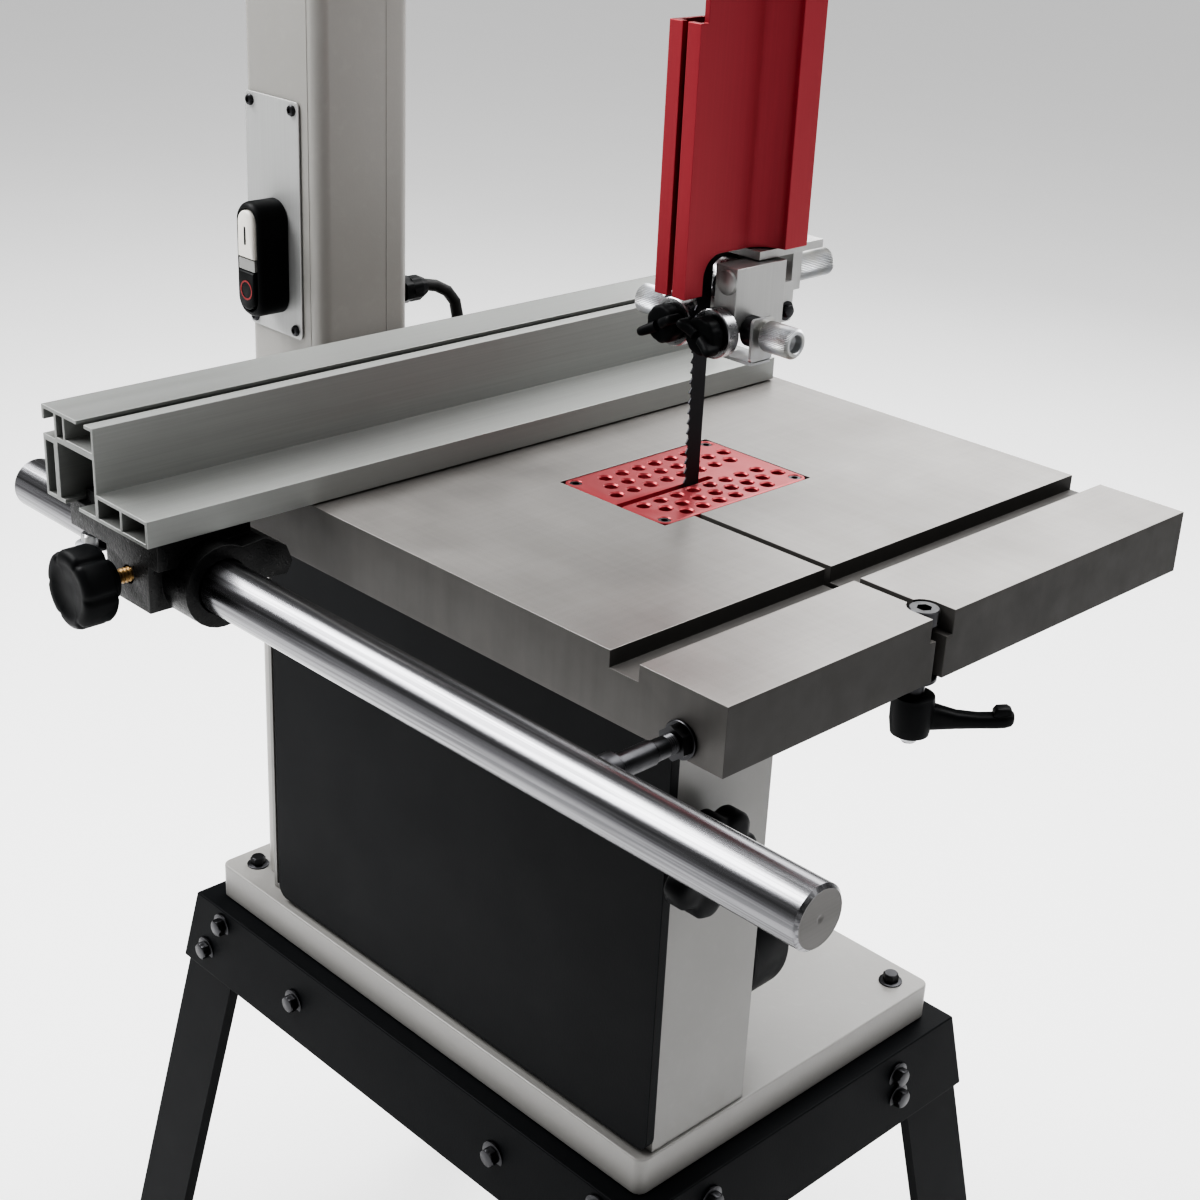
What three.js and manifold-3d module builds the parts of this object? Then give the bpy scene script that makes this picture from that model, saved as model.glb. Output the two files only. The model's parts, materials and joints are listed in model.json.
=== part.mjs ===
// A 14-inch band saw on a sheet-steel stand.
// Saw frame: millimetres, X to the operator's right, Y towards the back, Z up.
// The blade runs down X = 0, Y = 0 and the table top is Z = 0; the exported group
// is shifted so that the origin lies on the floor under the middle of the machine.

import * as THREE from 'three';
import { mergeVertices } from 'three/addons/utils/BufferGeometryUtils.js';
import Module from 'manifold-3d';

// ---- driving dimensions -------------------------------------------------

const GAP = 0.4; // clearance between pieces that meet
const FLOOR = -952; // table height above the floor
const STAND_TOP = -500;
const PAN_TOP = -470;

const PAN = { x0: -465, x1: 31.5, y0: -40, y1: 279, wall: 4 };
const LEG = { overhang: 15, splay: 0.15, flange: 60, sheet: 4, foot: 8 };
const APRON_HEIGHT = 63;

const COLUMN = { x0: -435, x1: -346, y0: -16, y1: 64, wall: 4, top: 395.6 };
const HOUSING = { y0: -27, y1: 64, wall: 4 };
const LOWER_HOUSING = { x0: -407, x1: 29, top: -92 };
const UPPER_HOUSING = { x0: -405, x1: 49, bottom: 396, top: 812 };
const DOOR = { sheet: 2.5, wrap: 8 };
const LOWER_DOOR = { x0: -389, x1: 30.5, z0: -466, z1: -94 };

const WHEEL = { radius: 176, tyre: 4, width: 26, hub: 24, bore: 10 };
const WHEEL_X = -(WHEEL.radius + WHEEL.tyre + 1.3);
const LOWER_WHEEL_Z = -280;
const UPPER_WHEEL_Z = 590;
const RETURN_X = 2 * WHEEL_X; // the blade's way up, inside the column
const BLADE = { width: 12.7, front: -8, thick: 0.9 };

const TABLE = { x0: -333, x1: 213, y0: -200, y1: 200, thick: 38 };
const MITRE = { x0: 135, x1: 155, deep: 9.5 };
const INSERT = { x0: -49, x1: 37, y0: -61.5, y1: 64, thick: 6, corner: 6 };
const SPLIT = { y: -35, wide: 5 };
const PIN = { x: 200, y: -35, head: 8.5, shank: 5.5, sink: 14, end: -82, nut: 9 };
const BLADE_ROOM = { y0: -12, y1: 9 }; // room along Y for the blade as the table tilts about it
const TILT = { radius: 74, inner: 50, front: [-24, -12], rear: [40, 52] };
const LEVER = { reach: 62, from: 8, half: 7, tip: 5, z0: -72, z1: -57, hub: 13, hubLow: -78, hubHigh: -47, turn: 45 };
const TILT_LOCK = { y: 15, z: -76, x0: -90, x1: -73, radius: 15, shank: 5 };

const RAIL = { radius: 15.4, y: -268, z: -27.7, x0: -298, x1: 329 };
const STUD_X = [186, -262];
const STUD = { radius: 5, sleeve: 7, washer: 9.5, nut: 12.5, inside: 24 };
const FENCE = { x0: -210, wallX: -156, x1: -106, y0: -308, y1: 193, z0: 1, z1: 54.5, ledge: 16.5, wall: 2.2 };
const FENCE_KNOB = { x: -141, z: -27, y: -338, radius: 20, thick: 23, shank: 5, hub: 12 };

const POST = { half: 11.7, slit: 1.85, front: -30, throat: 19, barHalf: 27.6, back: 54, length: 445 };
const POST_TIP = 119; // lowest point of the post's front fins at rest
const POST_ARCH = 142; // underside of the post above the guide block
const BLOCK = { half: 24.7, cheek: 8, y0: -1, y1: 41, z0: 97.6, z1: 135.3, bridge: 24 };
const ROLLER = { radius: 14.4, width: 8.5, z: 97.4 };

// ---- looks ----------------------------------------------------------------

const paint = (color, roughness, metalness) => new THREE.MeshStandardMaterial({ color, roughness, metalness });
const LOOK = {
  grey: paint(0x9b9892, 0.45, 0.1),
  pale: paint(0xb4b2ac, 0.45, 0.1),
  charcoal: paint(0x232527, 0.55, 0.1),
  iron: paint(0x8f8b87, 0.35, 0.9),
  steel: paint(0xc4c4c6, 0.2, 1),
  zinc: paint(0xb9c0c4, 0.3, 1),
  aluminium: paint(0xb8bab8, 0.4, 0.9),
  red: paint(0xa52a2e, 0.35, 0.6),
  plastic: paint(0x1b1c1d, 0.5, 0),
  rubber: paint(0x2a2a2a, 0.85, 0),
  casting: paint(0x1a1a1a, 0.7, 0.3),
  white: paint(0xe8e6df, 0.4, 0),
  blade: paint(0x26272a, 0.4, 0.8),
};

// ---- solids ---------------------------------------------------------------

const wasm = await Module();
wasm.setup();

function solid(geometry) {
  const bare = geometry.index ? geometry.toNonIndexed() : geometry.clone();
  bare.deleteAttribute('normal');
  bare.deleteAttribute('uv');
  const merged = mergeVertices(bare, 1e-4);
  return new wasm.Manifold(new wasm.Mesh({
    numProp: 3,
    vertProperties: new Float32Array(merged.attributes.position.array),
    triVerts: new Uint32Array(merged.index.array),
  }));
}

function geometryOf(body) {
  const mesh = body.getMesh();
  const geometry = new THREE.BufferGeometry();
  geometry.setAttribute('position', new THREE.BufferAttribute(new Float32Array(mesh.vertProperties), 3));
  geometry.setIndex(new THREE.BufferAttribute(new Uint32Array(mesh.triVerts), 1));
  geometry.computeVertexNormals();
  return geometry;
}

const join = (...bodies) => bodies.reduce((sum, body) => sum.add(body));
const cut = (body, ...tools) => tools.reduce((rest, tool) => rest.subtract(tool), body);

function box(x0, x1, y0, y1, z0, z1) {
  const geometry = new THREE.BoxGeometry(x1 - x0, y1 - y0, z1 - z0);
  return solid(geometry.translate((x0 + x1) / 2, (y0 + y1) / 2, (z0 + z1) / 2));
}

const TURN = {
  x: new THREE.Matrix4().makeRotationY(Math.PI / 2), // local Z becomes X
  y: new THREE.Matrix4().makeRotationX(-Math.PI / 2), // local Z becomes Y
  z: new THREE.Matrix4(),
};

// A turned piece: stations are [radius, distance along the axis], closed on the axis at both ends.
function turned(axis, centre, stations, sides = 20) {
  const first = stations[0][1];
  const last = stations[stations.length - 1][1];
  const outline = [[0, first], ...stations, [0, last]].map(([r, h]) => new THREE.Vector2(r, h));
  const geometry = new THREE.LatheGeometry(outline, sides).rotateX(Math.PI / 2);
  const body = solid(geometry.applyMatrix4(TURN[axis]).translate(...centre));
  return body.volume() < 0 ? solid(flipped(geometry)) : body;
}

function flipped(geometry) {
  const index = geometry.index.array;
  for (let i = 0; i < index.length; i += 3) [index[i], index[i + 1]] = [index[i + 1], index[i]];
  return geometry;
}

const rod = (axis, centre, radius, from, to, sides = 20) =>
  turned(axis, centre, [[radius, from], [radius, to]], sides);

// A flat outline in local X and Y, drawn out along local Z, then turned so that local Z is the axis.
function plate(shape, axis, from, to, curveSegments = 5) {
  const geometry = new THREE.ExtrudeGeometry(shape, { depth: to - from, bevelEnabled: false, curveSegments });
  geometry.translate(0, 0, from);
  if (axis === 'y') geometry.rotateX(Math.PI / 2).scale(1, -1, 1);
  if (axis === 'x') geometry.applyMatrix4(new THREE.Matrix4().set(0, 0, 1, 0, 1, 0, 0, 0, 0, 1, 0, 0, 0, 0, 0, 1));
  return solid(axis === 'y' ? flipped(mergeVertices(geometry)) : geometry);
}

const outline = (points) => new THREE.Shape(points.map(([x, y]) => new THREE.Vector2(x, y)));

function rounded(x0, x1, y0, y1, r) {
  const shape = new THREE.Shape();
  shape.absarc(x1 - r, y0 + r, r, -Math.PI / 2, 0);
  shape.absarc(x1 - r, y1 - r, r, 0, Math.PI / 2);
  shape.absarc(x0 + r, y1 - r, r, Math.PI / 2, Math.PI);
  shape.absarc(x0 + r, y0 + r, r, Math.PI, Math.PI * 1.5);
  shape.closePath();
  return shape;
}

// A round knob outline with evenly spaced hollows.
function lobed(radius, hollow, count) {
  const shape = new THREE.Shape();
  const half = Math.PI / count;
  for (let i = 0; i < count; i++) {
    const a = i * 2 * half;
    shape.absarc(0, 0, radius, a - half * 0.65, a + half * 0.65);
    shape.lineTo((radius - hollow) * Math.cos(a + half), (radius - hollow) * Math.sin(a + half));
  }
  shape.closePath();
  return shape;
}

const machine = new THREE.Group();

function piece(name, body, look, parent = machine) {
  const mesh = new THREE.Mesh(geometryOf(body), look);
  mesh.name = name;
  parent.add(mesh);
  return mesh;
}

// ---- stand and base --------------------------------------------------------

const RING_TOP = STAND_TOP - GAP;
const RING_SHEET = 3;
const RING = {
  x0: PAN.x0 - LEG.overhang, x1: PAN.x1 + LEG.overhang,
  y0: PAN.y0 - LEG.overhang, y1: PAN.y1 + LEG.overhang,
};
const LEG_TOP = RING_TOP - RING_SHEET - GAP;
const LEG_BOTTOM = FLOOR + LEG.foot;
const LEG_SPREAD = LEG.splay * (LEG_TOP - LEG_BOTTOM);
const LEG_INSET = RING_SHEET + GAP; // from the ring's outer face in to the leg's

// A box whose sides lean outwards from its top to its bottom.
function leaning(area, inset, top, bottom) {
  const spread = LEG.splay * (top - bottom);
  const [x0, x1, y0, y1] = [area.x0 + inset, area.x1 - inset, area.y0 + inset, area.y1 - inset];
  const geometry = new THREE.BoxGeometry(x1 - x0, y1 - y0, top - bottom);
  const place = geometry.attributes.position;
  for (let i = 0; i < place.count; i++) {
    if (place.getZ(i) > 0) continue;
    place.setX(i, place.getX(i) + spread * Math.sign(place.getX(i)));
    place.setY(i, place.getY(i) + spread * Math.sign(place.getY(i)));
  }
  return solid(geometry.translate((x0 + x1) / 2, (y0 + y1) / 2, (top + bottom) / 2));
}

function stand() {
  const shell = cut(
    leaning(RING, 0, RING_TOP, RING_TOP - APRON_HEIGHT),
    leaning(RING, RING_SHEET, RING_TOP - RING_SHEET, RING_TOP - APRON_HEIGHT - 1),
    box(RING.x0 + 45, RING.x1 - 45, RING.y0 + 45, RING.y1 - 45, RING_TOP - 10, RING_TOP + 1),
  );
  piece('stand_apron', shell, LOOK.charcoal);

  const { flange, sheet } = LEG;
  for (const [side, inX] of [['left', 1], ['right', -1]]) {
    for (const [end, inY] of [['front', 1], ['rear', -1]]) {
      const cornerX = inX > 0 ? RING.x0 + LEG_INSET : RING.x1 - LEG_INSET;
      const cornerY = inY > 0 ? RING.y0 + LEG_INSET : RING.y1 - LEG_INSET;
      const angle = outline([
        [0, 0], [flange, 0], [flange, sheet], [sheet, sheet], [sheet, flange], [0, flange],
      ].map(([u, v]) => [cornerX + inX * u, cornerY + inY * v]));
      const geometry = new THREE.ExtrudeGeometry(angle, { depth: LEG_TOP - LEG_BOTTOM, bevelEnabled: false });
      const lean = new THREE.Matrix4().set(
        1, 0, LEG.splay * inX, -LEG_SPREAD * inX,
        0, 1, LEG.splay * inY, -LEG_SPREAD * inY,
        0, 0, 1, LEG_BOTTOM,
        0, 0, 0, 1,
      );
      const footX = [cornerX - LEG_SPREAD * inX, cornerX - LEG_SPREAD * inX + inX * (flange + 10)];
      const footY = [cornerY - LEG_SPREAD * inY, cornerY - LEG_SPREAD * inY + inY * (flange + 10)];
      const foot = box(Math.min(...footX), Math.max(...footX), Math.min(...footY), Math.max(...footY), FLOOR, LEG_BOTTOM + 0.01);
      piece(`stand_leg_${end}_${side}`, join(solid(geometry.applyMatrix4(lean)), foot), LOOK.charcoal);
    }
  }

  const pan = cut(
    plate(rounded(PAN.x0, PAN.x1, PAN.y0, PAN.y1, 8), 'z', STAND_TOP, PAN_TOP, 3),
    box(PAN.x0 + PAN.wall, PAN.x1 - PAN.wall, PAN.y0 + PAN.wall, PAN.y1 - PAN.wall,
      STAND_TOP - 1, PAN_TOP - PAN.wall),
  );
  piece('base_pan', pan, LOOK.pale);
}

// ---- frame: column and wheel housings ---------------------------------------

const MOTOR = { x: -290, z: -380, radius: 76, y0: 70, y1: 262, shaft: 9 };
const PORT = { x: -38, z: -380, radius: 50, out: 60 };
const AXLE = 9.6;
const CARRIAGE = { half: 34, y0: 20, y1: 40, tall: 44 };
const TENSION = { radius: 6, x: WHEEL_X, y: 30 };
const TRACKING = { drop: 22, radius: 6, knob: 24, slotHalf: 14, slotLow: 44, slotHigh: 4 };

// A hole for the blade in a housing's top or bottom sheet at height z.
const bladeWay = (x, z) => box(x - 8, x + 8, -14, 20, z - 10, z + 10);

function frame() {
  const { wall } = COLUMN;
  const tube = cut(
    plate(rounded(COLUMN.x0, COLUMN.x1, COLUMN.y0, COLUMN.y1, 10), 'z', PAN_TOP + GAP, COLUMN.top, 3),
    plate(rounded(COLUMN.x0 + wall, COLUMN.x1 - wall, COLUMN.y0 + wall, COLUMN.y1 - wall, 6), 'z',
      PAN_TOP - 1, COLUMN.top + 1, 3),
    box(LOWER_HOUSING.x0 - GAP, COLUMN.x1 + 1, COLUMN.y0 - 1, COLUMN.y1 + 1, PAN_TOP - 1, LOWER_HOUSING.top + GAP),
  );
  piece('column', tube, LOOK.grey);

  const throughBack = [HOUSING.y1 - 10, HOUSING.y1 + 10];
  const lower = cut(
    box(LOWER_HOUSING.x0, LOWER_HOUSING.x1, HOUSING.y0, HOUSING.y1, PAN_TOP + GAP, LOWER_HOUSING.top),
    box(LOWER_HOUSING.x0 + HOUSING.wall, LOWER_HOUSING.x1 - HOUSING.wall, HOUSING.y0 - 1,
      HOUSING.y1 - HOUSING.wall, PAN_TOP + GAP + HOUSING.wall, LOWER_HOUSING.top - HOUSING.wall),
    bladeWay(0, LOWER_HOUSING.top),
    bladeWay(RETURN_X, LOWER_HOUSING.top),
    rod('y', [WHEEL_X, 0, LOWER_WHEEL_Z], AXLE + GAP, ...throughBack),
    rod('y', [MOTOR.x, 0, MOTOR.z], MOTOR.shaft + 3, ...throughBack),
    rod('y', [PORT.x, 0, PORT.z], PORT.radius - 6, ...throughBack),
  );
  piece('lower_housing', lower, LOOK.grey);

  const { x0, x1, bottom, top } = UPPER_HOUSING;
  const upper = cut(
    join(
      box(x0, x1, HOUSING.y0, HOUSING.y1, bottom, top),
      box(COLUMN.x0, x0 + 1, HOUSING.y0 + 11, HOUSING.y1, bottom, top),
    ),
    box(x0 + HOUSING.wall, x1 - HOUSING.wall, HOUSING.y0 - 1, HOUSING.y1 - HOUSING.wall,
      bottom + HOUSING.wall, top - HOUSING.wall),
    box(-POST.barHalf - 1, POST.barHalf + 1, HOUSING.y0 - 1, POST.back + 1, bottom - 1, bottom + 10),
    bladeWay(RETURN_X, bottom),
    rod('z', [TENSION.x, TENSION.y, 0], TENSION.radius + 1, top - 10, top + 1),
    box(WHEEL_X - TRACKING.slotHalf, WHEEL_X + TRACKING.slotHalf, ...throughBack,
      UPPER_WHEEL_Z - TRACKING.slotLow, UPPER_WHEEL_Z - TRACKING.slotHigh),
    rod('x', [0, HANDWHEEL.y, HANDWHEEL.z], HANDWHEEL.shaft + 1, x1 - 10, x1 + 1),
  );
  piece('upper_housing', upper, LOOK.grey);

  const port = cut(
    turned('y', [PORT.x, 0, PORT.z], [[PORT.radius + 8, HOUSING.y1 + GAP], [PORT.radius + 8, HOUSING.y1 + 5],
      [PORT.radius, HOUSING.y1 + 5], [PORT.radius, HOUSING.y1 + PORT.out]], 28),
    rod('y', [PORT.x, 0, PORT.z], PORT.radius - 4, HOUSING.y1 - 5, HOUSING.y1 + PORT.out + 1, 28),
  );
  piece('dust_port', port, LOOK.plastic);
}

// ---- wheels, blade and drive -------------------------------------------------

function wheelParts(name, z) {
  const { radius, tyre, width, hub } = WHEEL;
  const centre = [WHEEL_X, 0, z];
  const half = width / 2;
  const spokes = [];
  const SPOKES = 5;
  for (let i = 0; i < SPOKES; i++) {
    const spoke = new THREE.BoxGeometry(radius - 24, 9, 20).translate(radius / 2, 0, 0)
      .rotateY((i * 2 * Math.PI) / SPOKES).translate(...centre);
    spokes.push(solid(spoke));
  }
  const rim = cut(rod('y', centre, radius, -half, half, 36), rod('y', centre, radius - 14, -half - 1, half + 1, 36));
  const wheel = cut(
    join(rim, rod('y', centre, hub, -half, half + 4), ...spokes),
    rod('y', centre, AXLE + GAP, -half - 5, half + 8),
  );
  piece(`${name}_wheel`, wheel, LOOK.aluminium);
  const tread = cut(
    rod('y', centre, radius + tyre, -half, half, 36),
    rod('y', centre, radius + GAP, -half - 1, half + 1, 36),
  );
  piece(`${name}_tyre`, tread, LOOK.rubber);
}

// A closed belt round two circles in the XZ plane, drawn out along Y. Its flats lie outside both circles.
function belt(a, b, insideA, insideB, thick, y0, y1, steps = 14) {
  const dx = b[0] - a[0];
  const dz = b[1] - a[1];
  const outside = 1 / Math.cos(Math.PI / (1.6 * steps));
  const radiusA = insideA * outside;
  const radiusB = insideB * outside;
  const heading = Math.atan2(dz, dx);
  const lean = Math.acos((radiusA - radiusB) / Math.hypot(dx, dz));
  const loop = (extra) => {
    const points = [];
    for (let i = 0; i <= steps; i++) {
      const t = heading + lean + ((2 * Math.PI - 2 * lean) * i) / steps;
      points.push([a[0] + (radiusA + extra) * Math.cos(t), a[1] + (radiusA + extra) * Math.sin(t)]);
    }
    for (let i = 0; i <= steps; i++) {
      const t = heading - lean + (2 * lean * i) / steps;
      points.push([b[0] + (radiusB + extra) * Math.cos(t), b[1] + (radiusB + extra) * Math.sin(t)]);
    }
    return points;
  };
  return cut(plate(outline(loop(thick)), 'y', y0, y1), plate(outline(loop(0)), 'y', y0 - 1, y1 + 1));
}

const PULLEY = { driven: 52, motor: 30, y0: 28, y1: 46 };

function drive() {
  wheelParts('lower', LOWER_WHEEL_Z);
  wheelParts('upper', UPPER_WHEEL_Z);

  const bottom = [WHEEL_X, 0, LOWER_WHEEL_Z];
  const top = [WHEEL_X, 0, UPPER_WHEEL_Z];
  const motor = [MOTOR.x, 0, MOTOR.z];
  piece('lower_axle', join(rod('y', bottom, AXLE, -18, 72), rod('y', bottom, AXLE + 5, -22, -18 + 0.01)), LOOK.steel);
  piece('upper_axle', join(rod('y', top, AXLE, -18, 19), rod('y', top, AXLE + 5, -22, -18 + 0.01)), LOOK.steel);

  const pulley = (centre, radius, bore) => cut(
    turned('y', centre, [[radius + 5, PULLEY.y0], [radius + 5, PULLEY.y0 + 3], [radius, PULLEY.y0 + 4],
      [radius, PULLEY.y1 - 4], [radius + 5, PULLEY.y1 - 3], [radius + 5, PULLEY.y1]], 28),
    rod('y', centre, bore + GAP, PULLEY.y0 - 1, PULLEY.y1 + 1),
  );
  piece('lower_pulley', pulley(bottom, PULLEY.driven, AXLE), LOOK.casting);
  const motorPulley = join(
    pulley(motor, PULLEY.motor, 0),
    rod('y', motor, MOTOR.shaft, PULLEY.y0 - 2, MOTOR.y0 - GAP),
  );
  piece('motor_pulley', motorPulley, LOOK.casting);
  const loop = belt([WHEEL_X, LOWER_WHEEL_Z], [MOTOR.x, MOTOR.z], PULLEY.driven + GAP, PULLEY.motor + GAP, 4,
    PULLEY.y0 + 4.5, PULLEY.y1 - 4.5);
  piece('drive_belt', loop, LOOK.rubber);

  const fanHood = [[MOTOR.radius - 4, MOTOR.y1 - 30], [MOTOR.radius - 4, MOTOR.y1 - 8], [MOTOR.radius - 14, MOTOR.y1]];
  const body = join(
    turned('y', motor, [[MOTOR.radius - 8, MOTOR.y0], [MOTOR.radius, MOTOR.y0 + 8],
      [MOTOR.radius, MOTOR.y1 - 30], ...fanHood], 28),
    box(MOTOR.x - 45, MOTOR.x + 45, MOTOR.y0 + 40, MOTOR.y0 + 125, MOTOR.z + 60, MOTOR.z + 112),
  );
  piece('motor', body, LOOK.casting);

  const inside = WHEEL.radius + WHEEL.tyre + 0.3;
  const blade = belt([WHEEL_X, LOWER_WHEEL_Z], [WHEEL_X, UPPER_WHEEL_Z], inside, inside, BLADE.thick, BLADE.front, BLADE.front + BLADE.width, 20);
  piece('blade', blade, LOOK.blade);
}

// ---- upper wheel carriage: tension and tracking -------------------------------

function carriage() {
  const { half, y0, y1, tall } = CARRIAGE;
  const z = UPPER_WHEEL_Z;
  const slide = cut(
    box(WHEEL_X - half, WHEEL_X + half, y0, y1, z - tall, z + tall),
    rod('z', [TENSION.x, TENSION.y, 0], TENSION.radius + 0.5, z + 10, z + tall + 1, 16),
    rod('y', [WHEEL_X, 0, z - TRACKING.drop], TRACKING.radius + 0.5, y0 + 8, y1 + 1, 16),
  );
  piece('wheel_carriage', slide, LOOK.casting);

  const springFoot = z + tall + GAP;
  const SPRING = { radius: 15, turns: 7, wire: 3, length: 84 };
  const coil = [];
  for (let i = 0; i < SPRING.turns; i++) {
    const low = springFoot + (i * SPRING.length) / SPRING.turns;
    coil.push([SPRING.radius - SPRING.wire, low], [SPRING.radius, low + SPRING.length / SPRING.turns / 2]);
  }
  coil.push([SPRING.radius - SPRING.wire, springFoot + SPRING.length]);
  const spring = cut(
    turned('z', [TENSION.x, TENSION.y, 0], coil, 16),
    rod('z', [TENSION.x, TENSION.y, 0], TENSION.radius + 2, springFoot - 1, springFoot + SPRING.length + 1, 16),
  );
  piece('tension_spring', spring, LOOK.steel);

  const { top } = UPPER_HOUSING;
  const KNOB = { gap: 1, tall: 34, radius: 36 };
  const screw = join(
    rod('z', [TENSION.x, TENSION.y, 0], TENSION.radius, z + 14, top + KNOB.gap + 6, 16),
    plate(lobed(KNOB.radius, 7, 6), 'z', top + KNOB.gap + 5, top + KNOB.gap + KNOB.tall, 3).translate(TENSION.x, TENSION.y, 0),
    rod('z', [TENSION.x, TENSION.y, 0], 17, top + KNOB.gap, top + KNOB.gap + 6, 16),
  );
  piece('tension_knob', screw, LOOK.plastic);

  const tracking = join(
    rod('y', [WHEEL_X, 0, z - TRACKING.drop], TRACKING.radius, y0 + 9, HOUSING.y1 + 12, 16),
    rod('y', [WHEEL_X, 0, z - TRACKING.drop], TRACKING.knob, HOUSING.y1 + 11, HOUSING.y1 + 30, 20),
  );
  piece('tracking_knob', tracking, LOOK.plastic);
}

// ---- doors -------------------------------------------------------------------

function doorPan(x0, x1, z0, z1, notch) {
  const front = HOUSING.y0 - DOOR.wrap;
  const back = HOUSING.y0 - GAP;
  const { sheet } = DOOR;
  return cut(
    plate(rounded(x0, x1, z0, z1, 10), 'y', front, back, 3),
    plate(rounded(x0 + sheet, x1 - sheet, z0 + sheet, z1 - sheet, 8), 'y', front + sheet, back + 1, 3),
    ...notch,
  );
}

const STAR = { z: -234, y: -15, radius: 37, x0: 40, x1: 59 };

function starKnob(x, y, z, from, to) {
  const stem = rod('x', [0, y, z], 12, x + GAP, from + 1, 16);
  return join(stem, plate(lobed(STAR.radius, 8, 7), 'x', from, to, 3).translate(0, y, z));
}

function doors() {
  const { x0, x1, z0, z1 } = LOWER_DOOR;
  piece('lower_door', doorPan(x0, x1, z0, z1, []), LOOK.charcoal);
  piece('lower_door_knob', starKnob(LOWER_HOUSING.x1, STAR.y, STAR.z, STAR.x0, STAR.x1), LOOK.plastic);

  const upper = UPPER_HOUSING;
  const slot = box(-POST.half - 3, POST.half + 3, HOUSING.y0 - DOOR.wrap - 1, HOUSING.y0, upper.bottom - 1, upper.bottom + 12);
  piece('upper_door', doorPan(upper.x0 + 12, upper.x1 + 1.5, upper.bottom, upper.top, [slot]), LOOK.charcoal);
  const shift = upper.x1 - LOWER_HOUSING.x1;
  const upperKnob = starKnob(LOWER_HOUSING.x1, STAR.y, 640, STAR.x0, STAR.x1).translate(shift, 0, 0);
  piece('upper_door_knob', upperKnob, LOOK.plastic);
}

// ---- guide post and blade guides -------------------------------------------------

function guidePost() {
  const { half, slit, front, throat, barHalf, back, length } = POST;
  const wall = 3.7;
  const curve = barHalf - half;
  const right = new THREE.Shape();
  right.moveTo(-half, front);
  right.lineTo(half, front);
  right.lineTo(half, throat);
  right.absarc(barHalf, throat, curve, Math.PI, Math.PI / 2, true);
  right.lineTo(barHalf, back);
  right.lineTo(-barHalf, back);
  right.lineTo(-barHalf, throat + curve);
  right.absarc(-barHalf, throat, curve, Math.PI / 2, 0, true);
  right.closePath();
  const top = POST_TIP + length;
  const GUARD = 150; // how far the left wall and the full fins reach up
  const bar = cut(
    plate(right, 'z', POST_TIP, top, 6),
    box(-half + wall, half - wall, front + 4, throat - 2, POST_TIP - 1, top + 1),
    box(-slit, slit, front - 1, front + 5, POST_TIP - 1, top + 1),
    box(-half - 1, 0.5, front - 1, throat - 3, POST_TIP + GUARD, top + 1),
    box(-half - 1, half + 1, front - 1, HOUSING.y0 + 3, POST_TIP + GUARD, top + 1),
    archCut(),
  );
  piece('guide_post', bar, LOOK.red);
}

// The hollow that clears the guide block: straight sides behind the fins, then a quarter round.
function archCut() {
  const y0 = -15;
  const round = 13;
  const shape = new THREE.Shape();
  shape.moveTo(y0, POST_TIP - 1);
  shape.lineTo(y0, POST_ARCH - round);
  shape.absarc(y0 + round, POST_ARCH - round, round, Math.PI, Math.PI / 2, true);
  shape.lineTo(POST.back + 1, POST_ARCH);
  shape.lineTo(POST.back + 1, POST_TIP - 1);
  shape.closePath();
  return plate(shape, 'x', -POST.barHalf - 1, POST.barHalf + 1, 5);
}

const THRUST = {
  y: 19.4, z: 120, radius: 14, width: 8, pin: 5, pinHalf: 7.4, shank: 4, knob: 8.6, knobY: 73, knobEnd: 106,
};
const SIDE_KNOB = { y: 12, z: 98.3, radius: 8.6, x0: 37, x1: 60, shank: 3.5, collar: 8 };
const WING = { hub: 9.5, span: 20, deep: 12, thick: 6, turn: 1.1, back: 17 };
const BRACKET = { half: 20, y0: 22, y1: 78, z0: 136.2, z1: 141.2 };
const SCREW_BORE = 4.5;
const HANDWHEEL = { y: 45, z: 440, radius: 45, rim: 9, thick: 12, shaft: 7, hub: 12, standOff: 12, grip: 36, gripY: 75 };

// One side roller with its wing lock and its thumb screw; s is 1 on the right, -1 on the left.
function sideGuide(side, s) {
  const centre = [s * (ROLLER.radius + 0.9), 0, ROLLER.z];
  const back = BLOCK.y0 - GAP;
  piece(`side_bearing_${side}`, rod('y', centre, ROLLER.radius, back - ROLLER.width, back, 24), LOOK.steel);

  const hub = back - ROLLER.width - GAP;
  const wing = new THREE.BoxGeometry(2 * WING.span, WING.deep, WING.thick).rotateY(s * WING.turn)
    .translate(centre[0], hub - WING.back, centre[2]);
  const knob = join(rod('y', centre, WING.hub, hub - WING.back + 4, hub, 20), solid(wing));
  piece(`wing_knob_${side}`, knob, LOOK.plastic);

  const start = BLOCK.half + GAP;
  const axis = [0, SIDE_KNOB.y, SIDE_KNOB.z];
  const turn = join(
    rod('x', axis, SIDE_KNOB.shank, start + 8.6, SIDE_KNOB.x0 + 1, 12),
    rod('x', axis, SIDE_KNOB.collar, start, start + 9.1, 20),
    rod('x', axis, SIDE_KNOB.radius, SIDE_KNOB.x0, SIDE_KNOB.x1, 20),
  );
  piece(`side_knob_${side}`, s > 0 ? turn : turn.mirror([1, 0, 0]), LOOK.zinc);
}

function postHandwheel() {
  const { y, z, radius, rim, thick, shaft, hub, standOff, grip, gripY } = HANDWHEEL;
  const near = UPPER_HOUSING.x1 + standOff;
  const far = near + thick;
  const wheel = join(
    rod('x', [0, y, z], shaft, POST.barHalf + 4, near, 16),
    cut(
      rod('x', [0, y, z], radius, near, far, 28),
      rod('x', [0, y, z], radius - rim, near + 5, far + 1, 28),
    ),
    rod('x', [0, y, z], hub, near - 1, far, 16),
    rod('x', [0, gripY, z], shaft, near + 4, near + 4 + grip, 16),
  );
  piece('post_handwheel', wheel, LOOK.plastic);
}

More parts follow.
